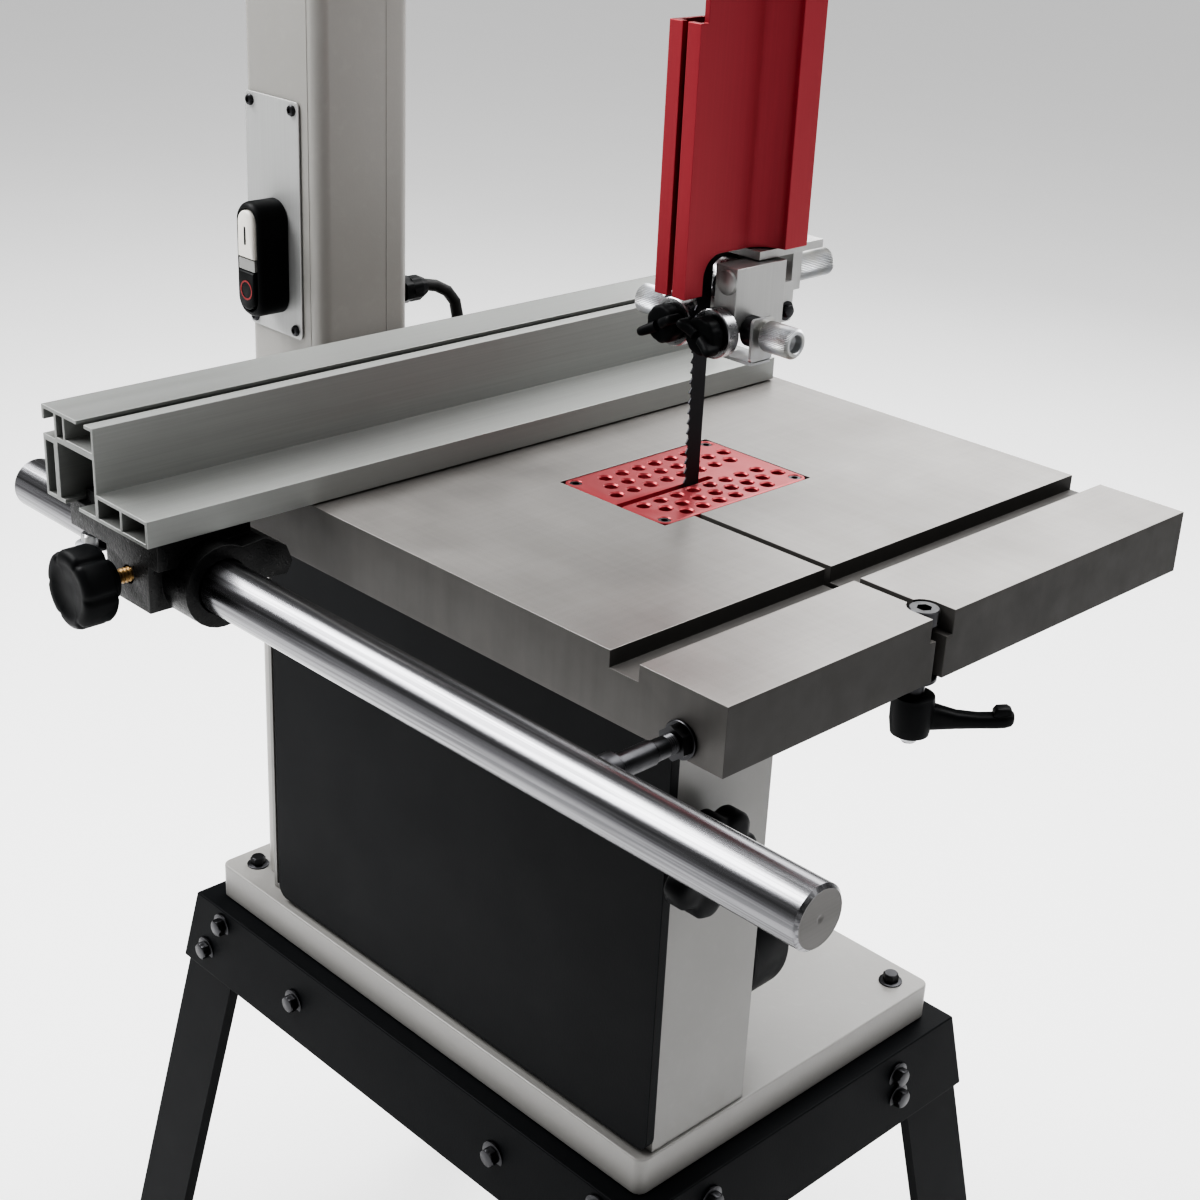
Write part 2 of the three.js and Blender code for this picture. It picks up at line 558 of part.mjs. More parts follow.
function guides() {
  const { half, cheek, y0, y1, z0, z1, bridge } = BLOCK;
  const block = cut(
    box(-half, half, y0, y1, z0, z1),
    box(-cheek, cheek, y0 - 1, y0 + bridge + 12, z0 - 1, z1 + 1),
    rod('y', [0, 0, THRUST.z], SCREW_BORE, y1 - 10, y1 + 1, 12),
  );
  piece('guide_block', block, LOOK.aluminium);

  const ear = { half: 10, y0: BRACKET.y1 - 14, y1: BRACKET.y1 - 6 };
  const bracket = join(
    box(-BRACKET.half, BRACKET.half, BRACKET.y0, BRACKET.y1, BRACKET.z0, BRACKET.z1),
    cut(
      box(-ear.half, ear.half, ear.y0, ear.y1, THRUST.z - 10, BRACKET.z0 + 1),
      rod('y', [0, 0, THRUST.z], SCREW_BORE, ear.y0 - 6, ear.y1 + 6, 12),
    ),
  );
  piece('guide_bracket', bracket, LOOK.aluminium);

  const bearing = join(
    rod('x', [0, THRUST.y, THRUST.z], THRUST.radius, -THRUST.width / 2, THRUST.width / 2, 24),
    rod('x', [0, THRUST.y, THRUST.z], THRUST.pin, -THRUST.pinHalf, THRUST.pinHalf, 12),
  );
  piece('thrust_bearing', bearing, LOOK.steel);
  const thrustKnob = join(
    rod('y', [0, 0, THRUST.z], THRUST.shank, y1 - 5, THRUST.knobY + 1, 12),
    rod('y', [0, 0, THRUST.z], THRUST.knob, THRUST.knobY, THRUST.knobEnd, 20),
  );
  piece('thrust_knob', thrustKnob, LOOK.zinc);

  for (const [side, s] of [['right', 1], ['left', -1]]) sideGuide(side, s);
  postHandwheel();
}

// ---- table, insert and trunnion ---------------------------------------------------

// Pockets between the ribs of the casting, clear of the insert, the trunnion seat and the slit.
function ribbedUnderside() {
  const ceiling = -17;
  const columns = [[-320, -215], [-205, -100], [80, 176]];
  const rows = [[-170, -55], [-15, 75], [85, 187]];
  const middle = [[-90, 70, 85, 187], [-90, 70, -170, -75]];
  const pockets = columns.flatMap(([x0, x1]) => rows.map(([y0, y1]) => [x0, x1, y0, y1]));
  return [...pockets, ...middle].map(([x0, x1, y0, y1]) => box(x0, x1, y0, y1, -TABLE.thick - 1, ceiling));
}

function insert() {
  const { x0, x1, y0, y1, thick, corner } = INSERT;
  const half = 2.4; // half the insert's slot
  const slot = box(-half, half, y0 - 1, 17, -thick - 1, 1);
  const undercut = plate(
    outline([[0, -half / 2], [half, -half / 2], [thick + 1 + half / 2, -thick - 1], [0, -thick - 1]]),
    'y', BLADE_ROOM.y0, BLADE_ROOM.y1,
  );
  const HOLE = { radius: 3.9, pitch: 14 };
  const rows = [[-38, 0], [-26, 7], [-14, 0], [8, 0], [19, 7], [29, 0]]; // each row's X and its shift along Y
  const holes = [];
  for (const [x, shift] of rows) {
    for (let y = y0 + 12 + shift; y < y1 - 8; y += HOLE.pitch) {
      const nearScrew = Math.abs(x) >= 34 && (y <= y0 + 20 || y >= y1 - 20);
      if (!nearScrew) holes.push(rod('z', [x, y, 0], HOLE.radius, -thick - 1, 1, 6));
    }
  }
  piece('table_insert', cut(plate(rounded(x0, x1, y0, y1, corner), 'z', -thick, 0, 3), slot, undercut, ...holes), LOOK.red);
}

function levellingPin() {
  const axis = [PIN.x, PIN.y, 0];
  const pin = cut(
    join(
      rod('z', axis, PIN.head, -9.5, -0.5),
      rod('z', axis, PIN.shank, PIN.end, -9, 16),
      rod('z', axis, PIN.nut, -46, -TABLE.thick - GAP, 20),
    ),
    rod('z', axis, 4.2, -7, 1, 6),
  );
  piece('levelling_pin', pin, LOOK.steel);

  const { reach, from, half, tip, z0, z1, hub, hubLow, hubHigh } = LEVER;
  const arm = outline([[from, -half], [reach, -tip], [reach + 4, 0], [reach, tip], [from, half]]);
  const lever = cut(
    join(
      turned('z', [0, 0, 0], [[hub - 1, hubLow], [hub, hubLow + 3], [hub, hubHigh - 1], [hub - 1, hubHigh]], 24),
      plate(arm, 'z', z0, z1),
      box(reach - 14, reach - 2, -tip, tip, z1 - 1, z1 + 4),
    ),
    rod('z', [0, 0, 0], PIN.shank + GAP, -90, -40, 16),
  );
  piece('pin_lever', lever.rotate([0, 0, LEVER.turn]).translate(PIN.x, PIN.y, 0), LOOK.plastic);
}

// The round trunnion under the table, the saddle that carries it and the knob that clamps it.
function tilting() {
  const bottom = -TABLE.thick - GAP;
  const { radius, inner, front, rear } = TILT;
  const web = Math.sqrt(radius ** 2 - inner ** 2) - 0.5; // keeps the web's corners inside the round
  const cheek = ([a, b]) => cut(
    rod('y', [0, 0, 0], radius, a, b, 48),
    box(-radius - 1, radius + 1, a - 1, b + 1, bottom, radius + 1),
  );
  const trunnion = cut(
    join(cheek(front), cheek(rear), box(-web, web, front[0], rear[1], -inner, bottom)),
    box(-10, inner + 4, BLADE_ROOM.y0 + 1, 26, -radius, bottom + 1),
  );
  piece('table_trunnion', trunnion, LOOK.casting);

  const saddle = cut(
    box(-62, 14, front[0] - 2, rear[1] + 4, LOWER_HOUSING.top + GAP, -54),
    rod('y', [0, 0, 0], radius + 0.8, front[0] - 6, rear[1] + 8, 48),
    box(-8, 8, -14, 20, LOWER_HOUSING.top, -inner),
  );
  piece('trunnion_saddle', saddle, LOOK.casting);

  const { y, z, x0, x1, shank } = TILT_LOCK;
  const lock = join(
    rod('x', [0, y, z], shank, x1 - 1, -62 - GAP, 12),
    plate(lobed(TILT_LOCK.radius, 4, 5), 'x', x0, x1, 2).translate(0, y, z),
  );
  piece('tilt_lock_knob', lock, LOOK.plastic);
}

function table() {
  const { x0, x1, y0, y1, thick } = TABLE;
  const lip = 7; // width of the ledge under the insert
  const way = 4.5; // half the slit under the pin's head
  const top = cut(
    box(x0, x1, y0, y1, -thick, 0),
    box(MITRE.x0, MITRE.x1, y0 - 1, y1 + 1, -MITRE.deep, 1),
    box(INSERT.x0 - GAP, INSERT.x1 + GAP, INSERT.y0 - GAP, INSERT.y1 + GAP, -INSERT.thick - GAP, 1),
    box(INSERT.x0 + lip, INSERT.x1 - lip, INSERT.y0 + lip, INSERT.y1 - lip, -thick - 1, 1),
    box(INSERT.x1 - lip - 1, x1 + 1, SPLIT.y - SPLIT.wide / 2, SPLIT.y + SPLIT.wide / 2, -thick - 1, 1),
    box(PIN.x, x1 + 1, PIN.y - PIN.head - 1, PIN.y + PIN.head + 1, -PIN.sink, 1),
    rod('z', [PIN.x, PIN.y, 0], PIN.head + 1, -PIN.sink, 1),
    rod('z', [PIN.x, PIN.y, 0], PIN.shank + 0.5, -thick - 1, 0, 16),
    box(PIN.x, x1 + 1, PIN.y - way, PIN.y + way, -thick - 1, -PIN.sink + 1),
    box(INSERT.x1 - lip - 1, thick + 3, BLADE_ROOM.y0, BLADE_ROOM.y1, -thick - 1, -28),
    ...STUD_X.map((x) => rod('y', [x, 0, RAIL.z], STUD.radius + 0.5, y0 - 1, y0 + STUD.inside + 2, 12)),
    ...ribbedUnderside(),
  );
  piece('table', top, LOOK.iron);
  insert();
  levellingPin();
  tilting();
}

// ---- fence and its rail --------------------------------------------------------------

// The hollow extruded bar: a box on the left with a low ledge on the right.
function fenceBar() {
  const { x0, x1, y0, y1, z0, z1, wallX, ledge, wall } = FENCE;
  const inner = x0 + 13; // the second wall of the left side
  const chamber = (a, b, c, d) => box(a, b, y0 - 1, y1 + 1, c, d);
  return cut(
    join(box(x0, wallX, y0, y1, z0, z1), box(wallX - 1, x1, y0, y1, z0, ledge)),
    chamber(inner + wall, wallX - wall, z0 + wall, 36), // main chamber
    chamber(-190, -176, z0 - 1, z0 + wall + 1), // slot for the carrier's tongue
    chamber(inner + wall, -188, 39, z1 - wall), // left top chamber
    chamber(-186, wallX - wall, 40, z1 - wall), // T-slot chamber
    chamber(-173, -165, z1 - 4, z1 + 1), // T-slot mouth
    chamber(x0 - 1, inner, 37.5, 46), // side channel
    chamber(x0 + wall, inner, 45, z1 - wall),
    chamber(x0 + wall, inner - wall, z0 + wall, 34),
    chamber(wallX + 1, -133, z0 + wall, ledge - wall), // ledge chambers
    chamber(-131, x1 - wall, z0 + wall, ledge - wall),
  );
}

function fence() {
  const { radius, y, z, x0, x1 } = RAIL;
  piece('fence_rail', turned('x', [0, y, z], [[radius - 2, x0], [radius, x0 + 2], [radius, x1 - 2], [radius - 2, x1]], 28),
    LOOK.steel);
  STUD_X.forEach((x, i) => {
    const face = TABLE.y0;
    const stud = join(
      rod('y', [x, 0, z], STUD.radius, y + radius + 0.6, face + STUD.inside, 12),
      rod('y', [x, 0, z], STUD.sleeve, y + radius + GAP, face - STUD.nut + 0.5, 16),
      rod('y', [x, 0, z], STUD.washer, face - 2.4, face - GAP, 20),
      rod('y', [x, 0, z], STUD.washer - 0.5, face - STUD.nut, face - 2, 6),
    );
    piece(`rail_stud_${['right', 'left'][i]}`, stud, LOOK.plastic);
  });
  piece('fence_bar', fenceBar(), LOOK.aluminium);

  const right = -96;
  const sleeveLeft = -176;
  const KNOB = FENCE_KNOB;
  const beak = outline([[-262, -8], [-240, -6], [-226, -14], [-222, -24], [-226, -31], [-240, -30], [-252, -20]]);
  const carrier = cut(
    join(
      rod('x', [0, y, z], 24, sleeveLeft, right, 28),
      box(-163, -120, -300, y, -44, -12),
      box(-200, -110, -300, -240, -16, FENCE.z0 - GAP),
      plate(beak, 'x', -140, right),
      box(-188.5, -177.5, -296, -262, FENCE.z0 - 2, FENCE.z0 + FENCE.wall + 5),
    ),
    rod('x', [0, y, z], radius + 0.5, -201, right + 1, 28),
    rod('y', [KNOB.x, 0, KNOB.z], KNOB.shank + 0.5, -301, -284, 12),
  );
  piece('fence_carrier', carrier, LOOK.casting);

  const knob = join(
    rod('y', [KNOB.x, 0, KNOB.z], KNOB.shank, KNOB.y + KNOB.thick + 1, -288, 12),
    rod('y', [KNOB.x, 0, KNOB.z], KNOB.hub, KNOB.y + KNOB.thick - 1, KNOB.y + KNOB.thick + 7, 20),
    plate(lobed(KNOB.radius, 3, 6), 'y', KNOB.y, KNOB.y + KNOB.thick, 3).translate(KNOB.x, 0, KNOB.z),
  );
  piece('fence_knob', knob, LOOK.plastic);
}

// ---- switch and wiring ------------------------------------------------------------------

const SWITCH = { x: -396, z: 57, wide: 30, tall: 82, deep: 24 };
const PLATE_Y = COLUMN.y0 - GAP - 1.5;

function switches() {
  const { x, z, wide, tall, deep } = SWITCH;
  const plateBody = plate(rounded(-430, -367, 1, 168, 4), 'y', PLATE_Y, COLUMN.y0 - GAP, 3);
  piece('switch_plate', plateBody, LOOK.zinc);

  const back = PLATE_Y - GAP;
  const pocket = (grow, low, high, from, to) => plate(
    rounded(x - wide / 2 + 3.5 - grow, x + wide / 2 - 3.5 + grow, low - grow, high + grow, 9), 'y', from, to, 4);
  const lowZ = z - tall / 2 + 4;
  const highZ = z + tall / 2 - 4;
  const body = cut(
    plate(rounded(x - wide / 2, x + wide / 2, z - tall / 2, z + tall / 2, 14), 'y', back - deep, back, 5),
    pocket(GAP, z + 4, highZ, back - deep - 1, back - deep + 9),
    pocket(GAP, lowZ, z - 4, back - deep - 1, back - deep + 9),
  );
  piece('switch_box', body, LOOK.plastic);
  piece('start_button', pocket(0, z + 4.4, highZ, back - deep - 2, back - deep + 4), LOOK.white);
  piece('stop_button', pocket(0, lowZ, z - 4.4, back - deep - 2, back - deep + 4), LOOK.plastic);

  const gland = cut(
    join(
      rod('y', [GLAND.x, 0, GLAND.z], 11, COLUMN.y1 + GAP, COLUMN.y1 + 8, 6),
      turned('y', [GLAND.x, 0, GLAND.z], [[9.5, COLUMN.y1 + 7], [9.5, COLUMN.y1 + 16], [6.5, COLUMN.y1 + 22]], 16),
    ),
    rod('y', [GLAND.x, 0, GLAND.z], LEAD_RADIUS + 1.4, COLUMN.y1 - 1, COLUMN.y1 + 23, 12),
  );
  piece('cable_gland', gland, LOOK.plastic);

  const route = new THREE.CatmullRomCurve3(LEAD_ROUTE.map((p) => new THREE.Vector3(...p)), false, 'centripetal');
  const section = new THREE.Shape();
  section.absarc(0, 0, LEAD_RADIUS, 0, 2 * Math.PI);
  const lead = new THREE.ExtrudeGeometry(section, { steps: 36, extrudePath: route, curveSegments: 5, bevelEnabled: false });
  piece('motor_lead', solid(lead), LOOK.rubber);
}

const GLAND = { x: -359, z: 27 };
const LEAD_RADIUS = 4.5;
// The lead leaves the column, hangs down its back and is clipped to it, then runs to the motor.
const LEAD_ROUTE = [
  [GLAND.x, COLUMN.y1 + 2, GLAND.z], [GLAND.x, COLUMN.y1 + 30, GLAND.z], [GLAND.x + 4, COLUMN.y1 + 48, GLAND.z - 12],
  [GLAND.x + 8, COLUMN.y1 + 48, GLAND.z - 50], [GLAND.x + 10, COLUMN.y1 + 30, GLAND.z - 100],
  [GLAND.x + 12, COLUMN.y1 + 22, GLAND.z - 160], [GLAND.x + 20, COLUMN.y1 + 30, GLAND.z - 220],
  [GLAND.x + 40, COLUMN.y1 + 60, GLAND.z - 260], [MOTOR.x, MOTOR.y0 + 82, GLAND.z - 270],
  [MOTOR.x, MOTOR.y0 + 82, MOTOR.z + 112 + GAP],
];

stand();
frame();
drive();
carriage();
doors();
guidePost();
guides();
table();
fence();
switches();

// The origin: on the floor, under the middle of the space that the machine takes.
const extent = new THREE.Box3().setFromObject(machine);
const middle = extent.getCenter(new THREE.Vector3());
machine.position.set(-middle.x, -middle.y, -FLOOR);

export default machine;
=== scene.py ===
"""A 14-inch band saw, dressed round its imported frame. Its own places are in millimetres; see at()."""

import json
from math import cos, hypot, inf, pi, radians, sin, sqrt

import bmesh
import bpy
from mathutils import Matrix, Vector


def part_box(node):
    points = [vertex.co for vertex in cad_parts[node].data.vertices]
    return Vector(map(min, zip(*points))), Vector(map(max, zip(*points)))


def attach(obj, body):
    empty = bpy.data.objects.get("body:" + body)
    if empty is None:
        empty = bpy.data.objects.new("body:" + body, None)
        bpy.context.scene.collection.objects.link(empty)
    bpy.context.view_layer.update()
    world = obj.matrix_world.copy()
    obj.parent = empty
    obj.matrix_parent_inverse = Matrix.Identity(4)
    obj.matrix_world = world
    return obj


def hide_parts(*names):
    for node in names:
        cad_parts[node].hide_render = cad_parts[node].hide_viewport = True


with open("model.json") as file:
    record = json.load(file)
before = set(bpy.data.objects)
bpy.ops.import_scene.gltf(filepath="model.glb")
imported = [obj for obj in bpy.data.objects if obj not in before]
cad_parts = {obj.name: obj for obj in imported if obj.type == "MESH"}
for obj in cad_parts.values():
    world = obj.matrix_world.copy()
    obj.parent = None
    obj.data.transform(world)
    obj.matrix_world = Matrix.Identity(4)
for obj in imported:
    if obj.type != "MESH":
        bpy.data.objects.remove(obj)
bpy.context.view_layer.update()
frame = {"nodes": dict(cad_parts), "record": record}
NODES = frame["nodes"]
MM = 0.001

# ---- places taken from the frame ----

TABLE_LOW, TABLE_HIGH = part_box("table")
# The saw's own zero: the blade line at the table top. The table's left end is 333 mm from the blade.
ZERO = Vector((TABLE_LOW.x + 0.333, (TABLE_LOW.y + TABLE_HIGH.y) / 2, TABLE_HIGH.z))


def at(x, y, z):
    """A point given in millimetres from the saw's zero, in metres in the frame."""
    return ZERO + Vector((x, y, z)) * MM


def extent(node):
    """The low and high corners of a node's box, in millimetres from the saw's zero."""
    return tuple((corner - ZERO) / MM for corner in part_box(node))


def middle(node):
    """The centre of a node's box, in millimetres from the saw's zero."""
    low, high = extent(node)
    return (low + high) / 2


# ---- camera ----


LENS_MM = 58.5
CAMERA_PLACE = (735.2, -810.9, 409.2)
CAMERA_RIGHT = (0.69357, 0.71904, 0.04405)
CAMERA_BACK = (0.64448, -0.64665, 0.40802)


def make_camera():
    data = bpy.data.cameras.new("camera")
    data.sensor_width = 36.0
    data.lens = LENS_MM
    data.clip_start, data.clip_end = 0.05, 50.0
    camera = bpy.data.objects.new("camera", data)
    bpy.context.scene.collection.objects.link(camera)
    right = Vector(CAMERA_RIGHT).normalized()
    back = Vector(CAMERA_BACK)
    back = (back - right * back.dot(right)).normalized()
    up = back.cross(right)
    turn = Matrix((right, up, back)).transposed().to_4x4()
    camera.matrix_world = Matrix.Translation(at(*CAMERA_PLACE)) @ turn
    bpy.context.scene.camera = camera


make_camera()

# ---- materials ----


def add_node(tree, kind, **inputs):
    node = tree.nodes.new(kind)
    for key, value in inputs.items():
        node.inputs[key.replace("_", " ")].default_value = value
    return node


class Finish:
    """A Principled material with helpers for its procedural detail, in object space."""

    def __init__(self, name, color, rough, metal=0.0, coat=0.0, coat_rough=0.1, level=0.5):
        self.material = bpy.data.materials.new(name)
        self.material.use_nodes = True
        self.tree = self.material.node_tree
        self.bsdf = self.tree.nodes["Principled BSDF"]
        self.color = (*color, 1.0)
        self.heights = []
        self.set("Base Color", self.color)
        self.set("Roughness", rough)
        self.set("Metallic", metal)
        self.set("Coat Weight", coat)
        self.set("Coat Roughness", coat_rough)
        self.set("Specular IOR Level", level)
        coords = self.add("ShaderNodeTexCoord")
        self.space = coords.outputs["Object"]

    def add(self, kind, **inputs):
        return add_node(self.tree, kind, **inputs)

    def set(self, socket, value):
        self.bsdf.inputs[socket].default_value = value

    def link(self, source, target):
        self.tree.links.new(source, target)

    def noise(self, scale, detail, stretch=(1, 1, 1)):
        mapping = self.add("ShaderNodeMapping", Scale=stretch)
        self.link(self.space, mapping.inputs["Vector"])
        texture = self.add("ShaderNodeTexNoise", Scale=scale, Detail=detail, Roughness=0.55)
        self.link(mapping.outputs["Vector"], texture.inputs["Vector"])
        return texture.outputs["Fac"]

    def ramp(self, value, low, high, bottom, top):
        node = self.add("ShaderNodeMapRange", From_Min=low, From_Max=high, To_Min=bottom, To_Max=top)
        self.link(value, node.inputs["Value"])
        return node.outputs["Result"]

    def stain(self, value, low, high, amount, color):
        """Mixes another colour in, up to the amount, as the value runs from low to high."""
        factor = self.ramp(value, low, high, 0.0, amount)
        mix = self.add("ShaderNodeMix")
        mix.data_type = "RGBA"
        source = self.bsdf.inputs["Base Color"]
        if source.is_linked:
            self.link(source.links[0].from_socket, mix.inputs["A"])
        else:
            mix.inputs["A"].default_value = self.color
        mix.inputs["B"].default_value = (*color, 1.0)
        self.link(factor, mix.inputs["Factor"])
        self.link(mix.outputs["Result"], source)
        return self

    def gloss(self, value, low, high):
        """Roughness runs from low to high with the value."""
        self.link(self.ramp(value, 0.3, 0.7, low, high), self.bsdf.inputs["Roughness"])
        return self

    def bump(self, value, strength, distance):
        node = self.add("ShaderNodeBump", Strength=strength, Distance=distance)
        self.link(value, node.inputs["Height"])
        normal = self.bsdf.inputs["Normal"]
        if normal.is_linked:
            self.link(normal.links[0].from_socket, node.inputs["Normal"])
        self.link(node.outputs["Normal"], normal)
        return self

    def edges(self, color, sharp, amount):
        """Lighter edges, where the surface turns outwards: partly wear and polish, partly a painted
        highlight.
        """
        geometry = self.add("ShaderNodeNewGeometry")
        return self.stain(geometry.outputs["Pointiness"], sharp, sharp + 0.06, amount, color)


def shade(color, factor):
    return tuple(channel * factor for channel in color)


def painted(name, color, rough, peel=0.12, level=0.5, coat=0.25, cloud=0.12):
    """Sprayed paint: slight orange peel, faint dust and broad darker clouds."""
    f = Finish(name, color, rough, coat=coat, coat_rough=0.25, level=level)
    f.stain(f.noise(7.0, 5.0), 0.35, 0.7, 0.5, shade(color, 0.86))
    f.stain(f.noise(120.0, 3.0), 0.55, 0.75, 0.25, shade(color, 1.12))
    f.gloss(f.noise(18.0, 4.0), rough * (1 - cloud), rough * (1 + cloud))
    f.bump(f.noise(650.0, 2.0), peel, 0.0004)
    return f.material


def plastic(name, color, rough, level=0.45):
    """Moulded plastic with a fine spark-eroded grain and faint handling marks."""
    f = Finish(name, color, rough, level=level)
    f.stain(f.noise(25.0, 5.0), 0.5, 0.75, 0.5, tuple(c + 0.006 for c in color))
    f.gloss(f.noise(40.0, 5.0), rough * 0.8, rough * 1.25)
    f.bump(f.noise(1400.0, 2.0), 0.18, 0.0003)
    # Lighter edges: partly wear, partly painted highlight.
    f.edges(tuple(c + 0.03 for c in color), 0.54, 0.4)
    return f.material


def drawn_metal(name, color, rough, along, metal=0.9, line=0.08, edge=1.2, reflection_bands=0.0):
    """Extruded or ground metal whose fine lines, and painted reflection stripes if asked, run along one
    axis.
    """
    stretch = [1.0, 1.0, 1.0]
    stretch["xyz".index(along)] = 0.012
    f = Finish(name, color, rough, metal=metal)
    fine = f.noise(900.0, 3.0, stretch)
    f.stain(fine, 0.35, 0.65, 0.35, shade(color, 0.82))
    f.stain(f.noise(5.0, 4.0), 0.4, 0.7, 0.35, shade(color, 0.9))
    # Dark stripes along the axis: painted reflection of a polished bar.
    if reflection_bands:
        f.stain(f.noise(420.0, 2.0, stretch), 0.46, 0.58, reflection_bands, shade(color, 0.3))
    f.gloss(f.noise(30.0, 4.0, stretch), rough * 0.8, rough * 1.25)
    f.bump(fine, line, 0.0002)
    # Lighter edges, brightened by the edge factor: partly wear and polish, partly painted highlight.
    f.edges(tuple(min(1.0, c * edge) for c in color), 0.53, 0.5)
    return f.material


def ground_iron(name, color, rough, metal):
    """Ground cast iron: crossing grinding arcs, cloudy patches and tiny pits."""
    f = Finish(name, color, rough, metal=metal)
    f.stain(f.noise(3.2, 4.0), 0.35, 0.7, 0.6, shade(color, 0.86))
    f.stain(f.noise(260.0, 2.0, (0.03, 1, 1)), 0.42, 0.66, 0.3, shade(color, 0.84))
    f.stain(f.noise(260.0, 2.0, (1, 0.05, 1)), 0.45, 0.7, 0.22, shade(color, 1.12))
    f.stain(f.noise(1500.0, 1.0), 0.66, 0.74, 0.5, shade(color, 0.55))
    f.gloss(f.noise(12.0, 5.0), rough * 0.85, rough * 1.2)
    f.bump(f.noise(420.0, 3.0, (0.04, 1, 1)), 0.05, 0.0002)
    f.bump(f.noise(1500.0, 1.0), 0.06, 0.0003)
    return f.material


def milled(name, color, rough, metal):
    """Side faces left from the mill: broad crossing cutter marks and a duller skin."""
    f = Finish(name, color, rough, metal=metal)
    f.stain(f.noise(9.0, 4.0), 0.35, 0.7, 0.3, shade(color, 0.8))
    marks = f.noise(160.0, 3.0, (0.5, 0.5, 0.05))
    f.stain(marks, 0.4, 0.66, 0.35, shade(color, 1.25))
    f.gloss(f.noise(60.0, 4.0), rough * 0.93, rough * 1.1)
    f.bump(marks, 0.14, 0.0004)
    f.bump(f.noise(1200.0, 2.0), 0.1, 0.0003)
    # Much lighter edges: partly wear and polish, partly painted highlight.
    f.edges(tuple(min(1.0, c * 1.8) for c in color), 0.53, 0.7)
    return f.material


def cast_black(name, color, rough):
    """A rough sand casting under thin black paint."""
    f = Finish(name, color, rough, level=0.3)
    f.stain(f.noise(160.0, 4.0), 0.55, 0.75, 0.4, tuple(c + 0.008 for c in color))
    f.gloss(f.noise(300.0, 3.0), rough * 0.75, rough * 1.3)
    f.bump(f.noise(800.0, 3.0), 0.5, 0.0006)
    # Lighter edges: partly wear, partly painted highlight.
    f.edges(tuple(c + 0.04 for c in color), 0.54, 0.5)
    return f.material


def plated(name, color, rough, second):
    """Bright zinc or passivated plating with a faint second hue."""
    f = Finish(name, color, rough, metal=1.0)
    f.stain(f.noise(60.0, 3.0), 0.4, 0.68, 0.6, second)
    f.stain(f.noise(9.0, 3.0), 0.45, 0.7, 0.4, shade(color, 0.8))
    f.gloss(f.noise(110.0, 4.0), rough * 0.8, rough * 1.3)
    f.bump(f.noise(900.0, 2.0), 0.08, 0.0002)
    return f.material


def rubbery(name, color, rough):
    f = Finish(name, color, rough, level=0.35)
    f.stain(f.noise(30.0, 5.0), 0.5, 0.75, 0.6, tuple(c + 0.02 for c in color))
    f.gloss(f.noise(50.0, 3.0), rough * 0.85, min(1.0, rough * 1.15))
    f.bump(f.noise(900.0, 3.0), 0.2, 0.0003)
    return f.material


BLACK = (0.0055, 0.006, 0.0068)
LOOKS = {
    "black_paint": painted("black_powder_coat", (0.0045, 0.0052, 0.0063), 0.5, 0.2, 0.12, 0.0, 0.04),
    "pale_paint": painted("pale_grey_paint", (0.27, 0.264, 0.254), 0.4),
    "grey_paint": painted("warm_grey_paint", (0.33, 0.322, 0.305), 0.4),
    "motor_paint": painted("motor_enamel", (0.009, 0.0095, 0.011), 0.4, 0.12, 0.35, 0.1),
    "wheel_alloy": drawn_metal("wheel_alloy", (0.5, 0.5, 0.5), 0.42, "y"),
    "satin_aluminium": drawn_metal("satin_extrusion", (0.325, 0.332, 0.322), 0.48, "y", 0.7),
    "red_anodised": drawn_metal("red_anodised", (0.34, 0.042, 0.052), 0.38, "z", 0.5, 0.1, 1.3),
    "ground_iron": ground_iron("ground_iron", (0.27, 0.26, 0.25), 0.46, 0.8),
    "black_casting": cast_black("black_casting", (0.004, 0.004, 0.0042), 0.34),
    # The rail's steel carries painted reflection stripes.
    "polished_steel": drawn_metal("polished_steel", (0.24, 0.24, 0.25), 0.22, "x", 1.0, 0.05, reflection_bands=0.85),
    "zinc_plate": plated("zinc_plate", (0.52, 0.53, 0.55), 0.42, (0.5, 0.49, 0.44)),
    "black_oxide": plated("black_oxide", (0.055, 0.055, 0.058), 0.34, (0.075, 0.075, 0.08)),
    "blade_steel": drawn_metal("blade_steel", (0.05, 0.05, 0.055), 0.36, "z", 0.8),
    "black_plastic": plastic("black_plastic", BLACK, 0.46, 0.13),
    "white_plastic": plastic("white_plastic", (0.78, 0.76, 0.71), 0.3),
    "rubber": rubbery("black_rubber", (0.018, 0.018, 0.018), 0.62),
}
MILLED_IRON = milled("milled_iron", (0.085, 0.081, 0.077), 0.54, 0.35)
# A darker copy of the milled finish for the table's right side: painted shade.
SHADED_MILLED_IRON = milled("milled_iron_painted_shade", (0.036, 0.034, 0.032), 0.58, 0.3)
# A darker copy of the grey paint for both housings: painted shade, for the table's shadow on the lower
# housing.
SHADED_HOUSING_PAINT = painted("housing_paint_painted_shade", (0.19, 0.186, 0.178), 0.4)
PLATE_METAL = drawn_metal("plate_metal", (0.5, 0.505, 0.5), 0.5, "z", 0.45)
INSERT_RED = drawn_metal("insert_red", (0.36, 0.06, 0.068), 0.38, "x", 0.6, 0.08, 1.5)
YELLOW_ZINC = plated("yellow_zinc", (0.26, 0.17, 0.08), 0.4, (0.2, 0.17, 0.09))
# The rail's turned end faces: steel made darker than the bar, which is painted shade.
SHADED_TURNED_STEEL = drawn_metal("turned_steel_painted_shade", (0.12, 0.117, 0.114), 0.36, "y", 1.0)
BLOCK_STEEL = drawn_metal("block_steel", (0.46, 0.46, 0.455), 0.42, "z", 0.85, 0.12)
BRIGHT_STEEL = plated("bright_steel", (0.45, 0.45, 0.46), 0.26, (0.38, 0.38, 0.39))
STOP_RED = plastic("stop_red", (0.28, 0.012, 0.014), 0.35)
LENS_GREY = plastic("lens_grey", (0.3, 0.3, 0.29), 0.18)

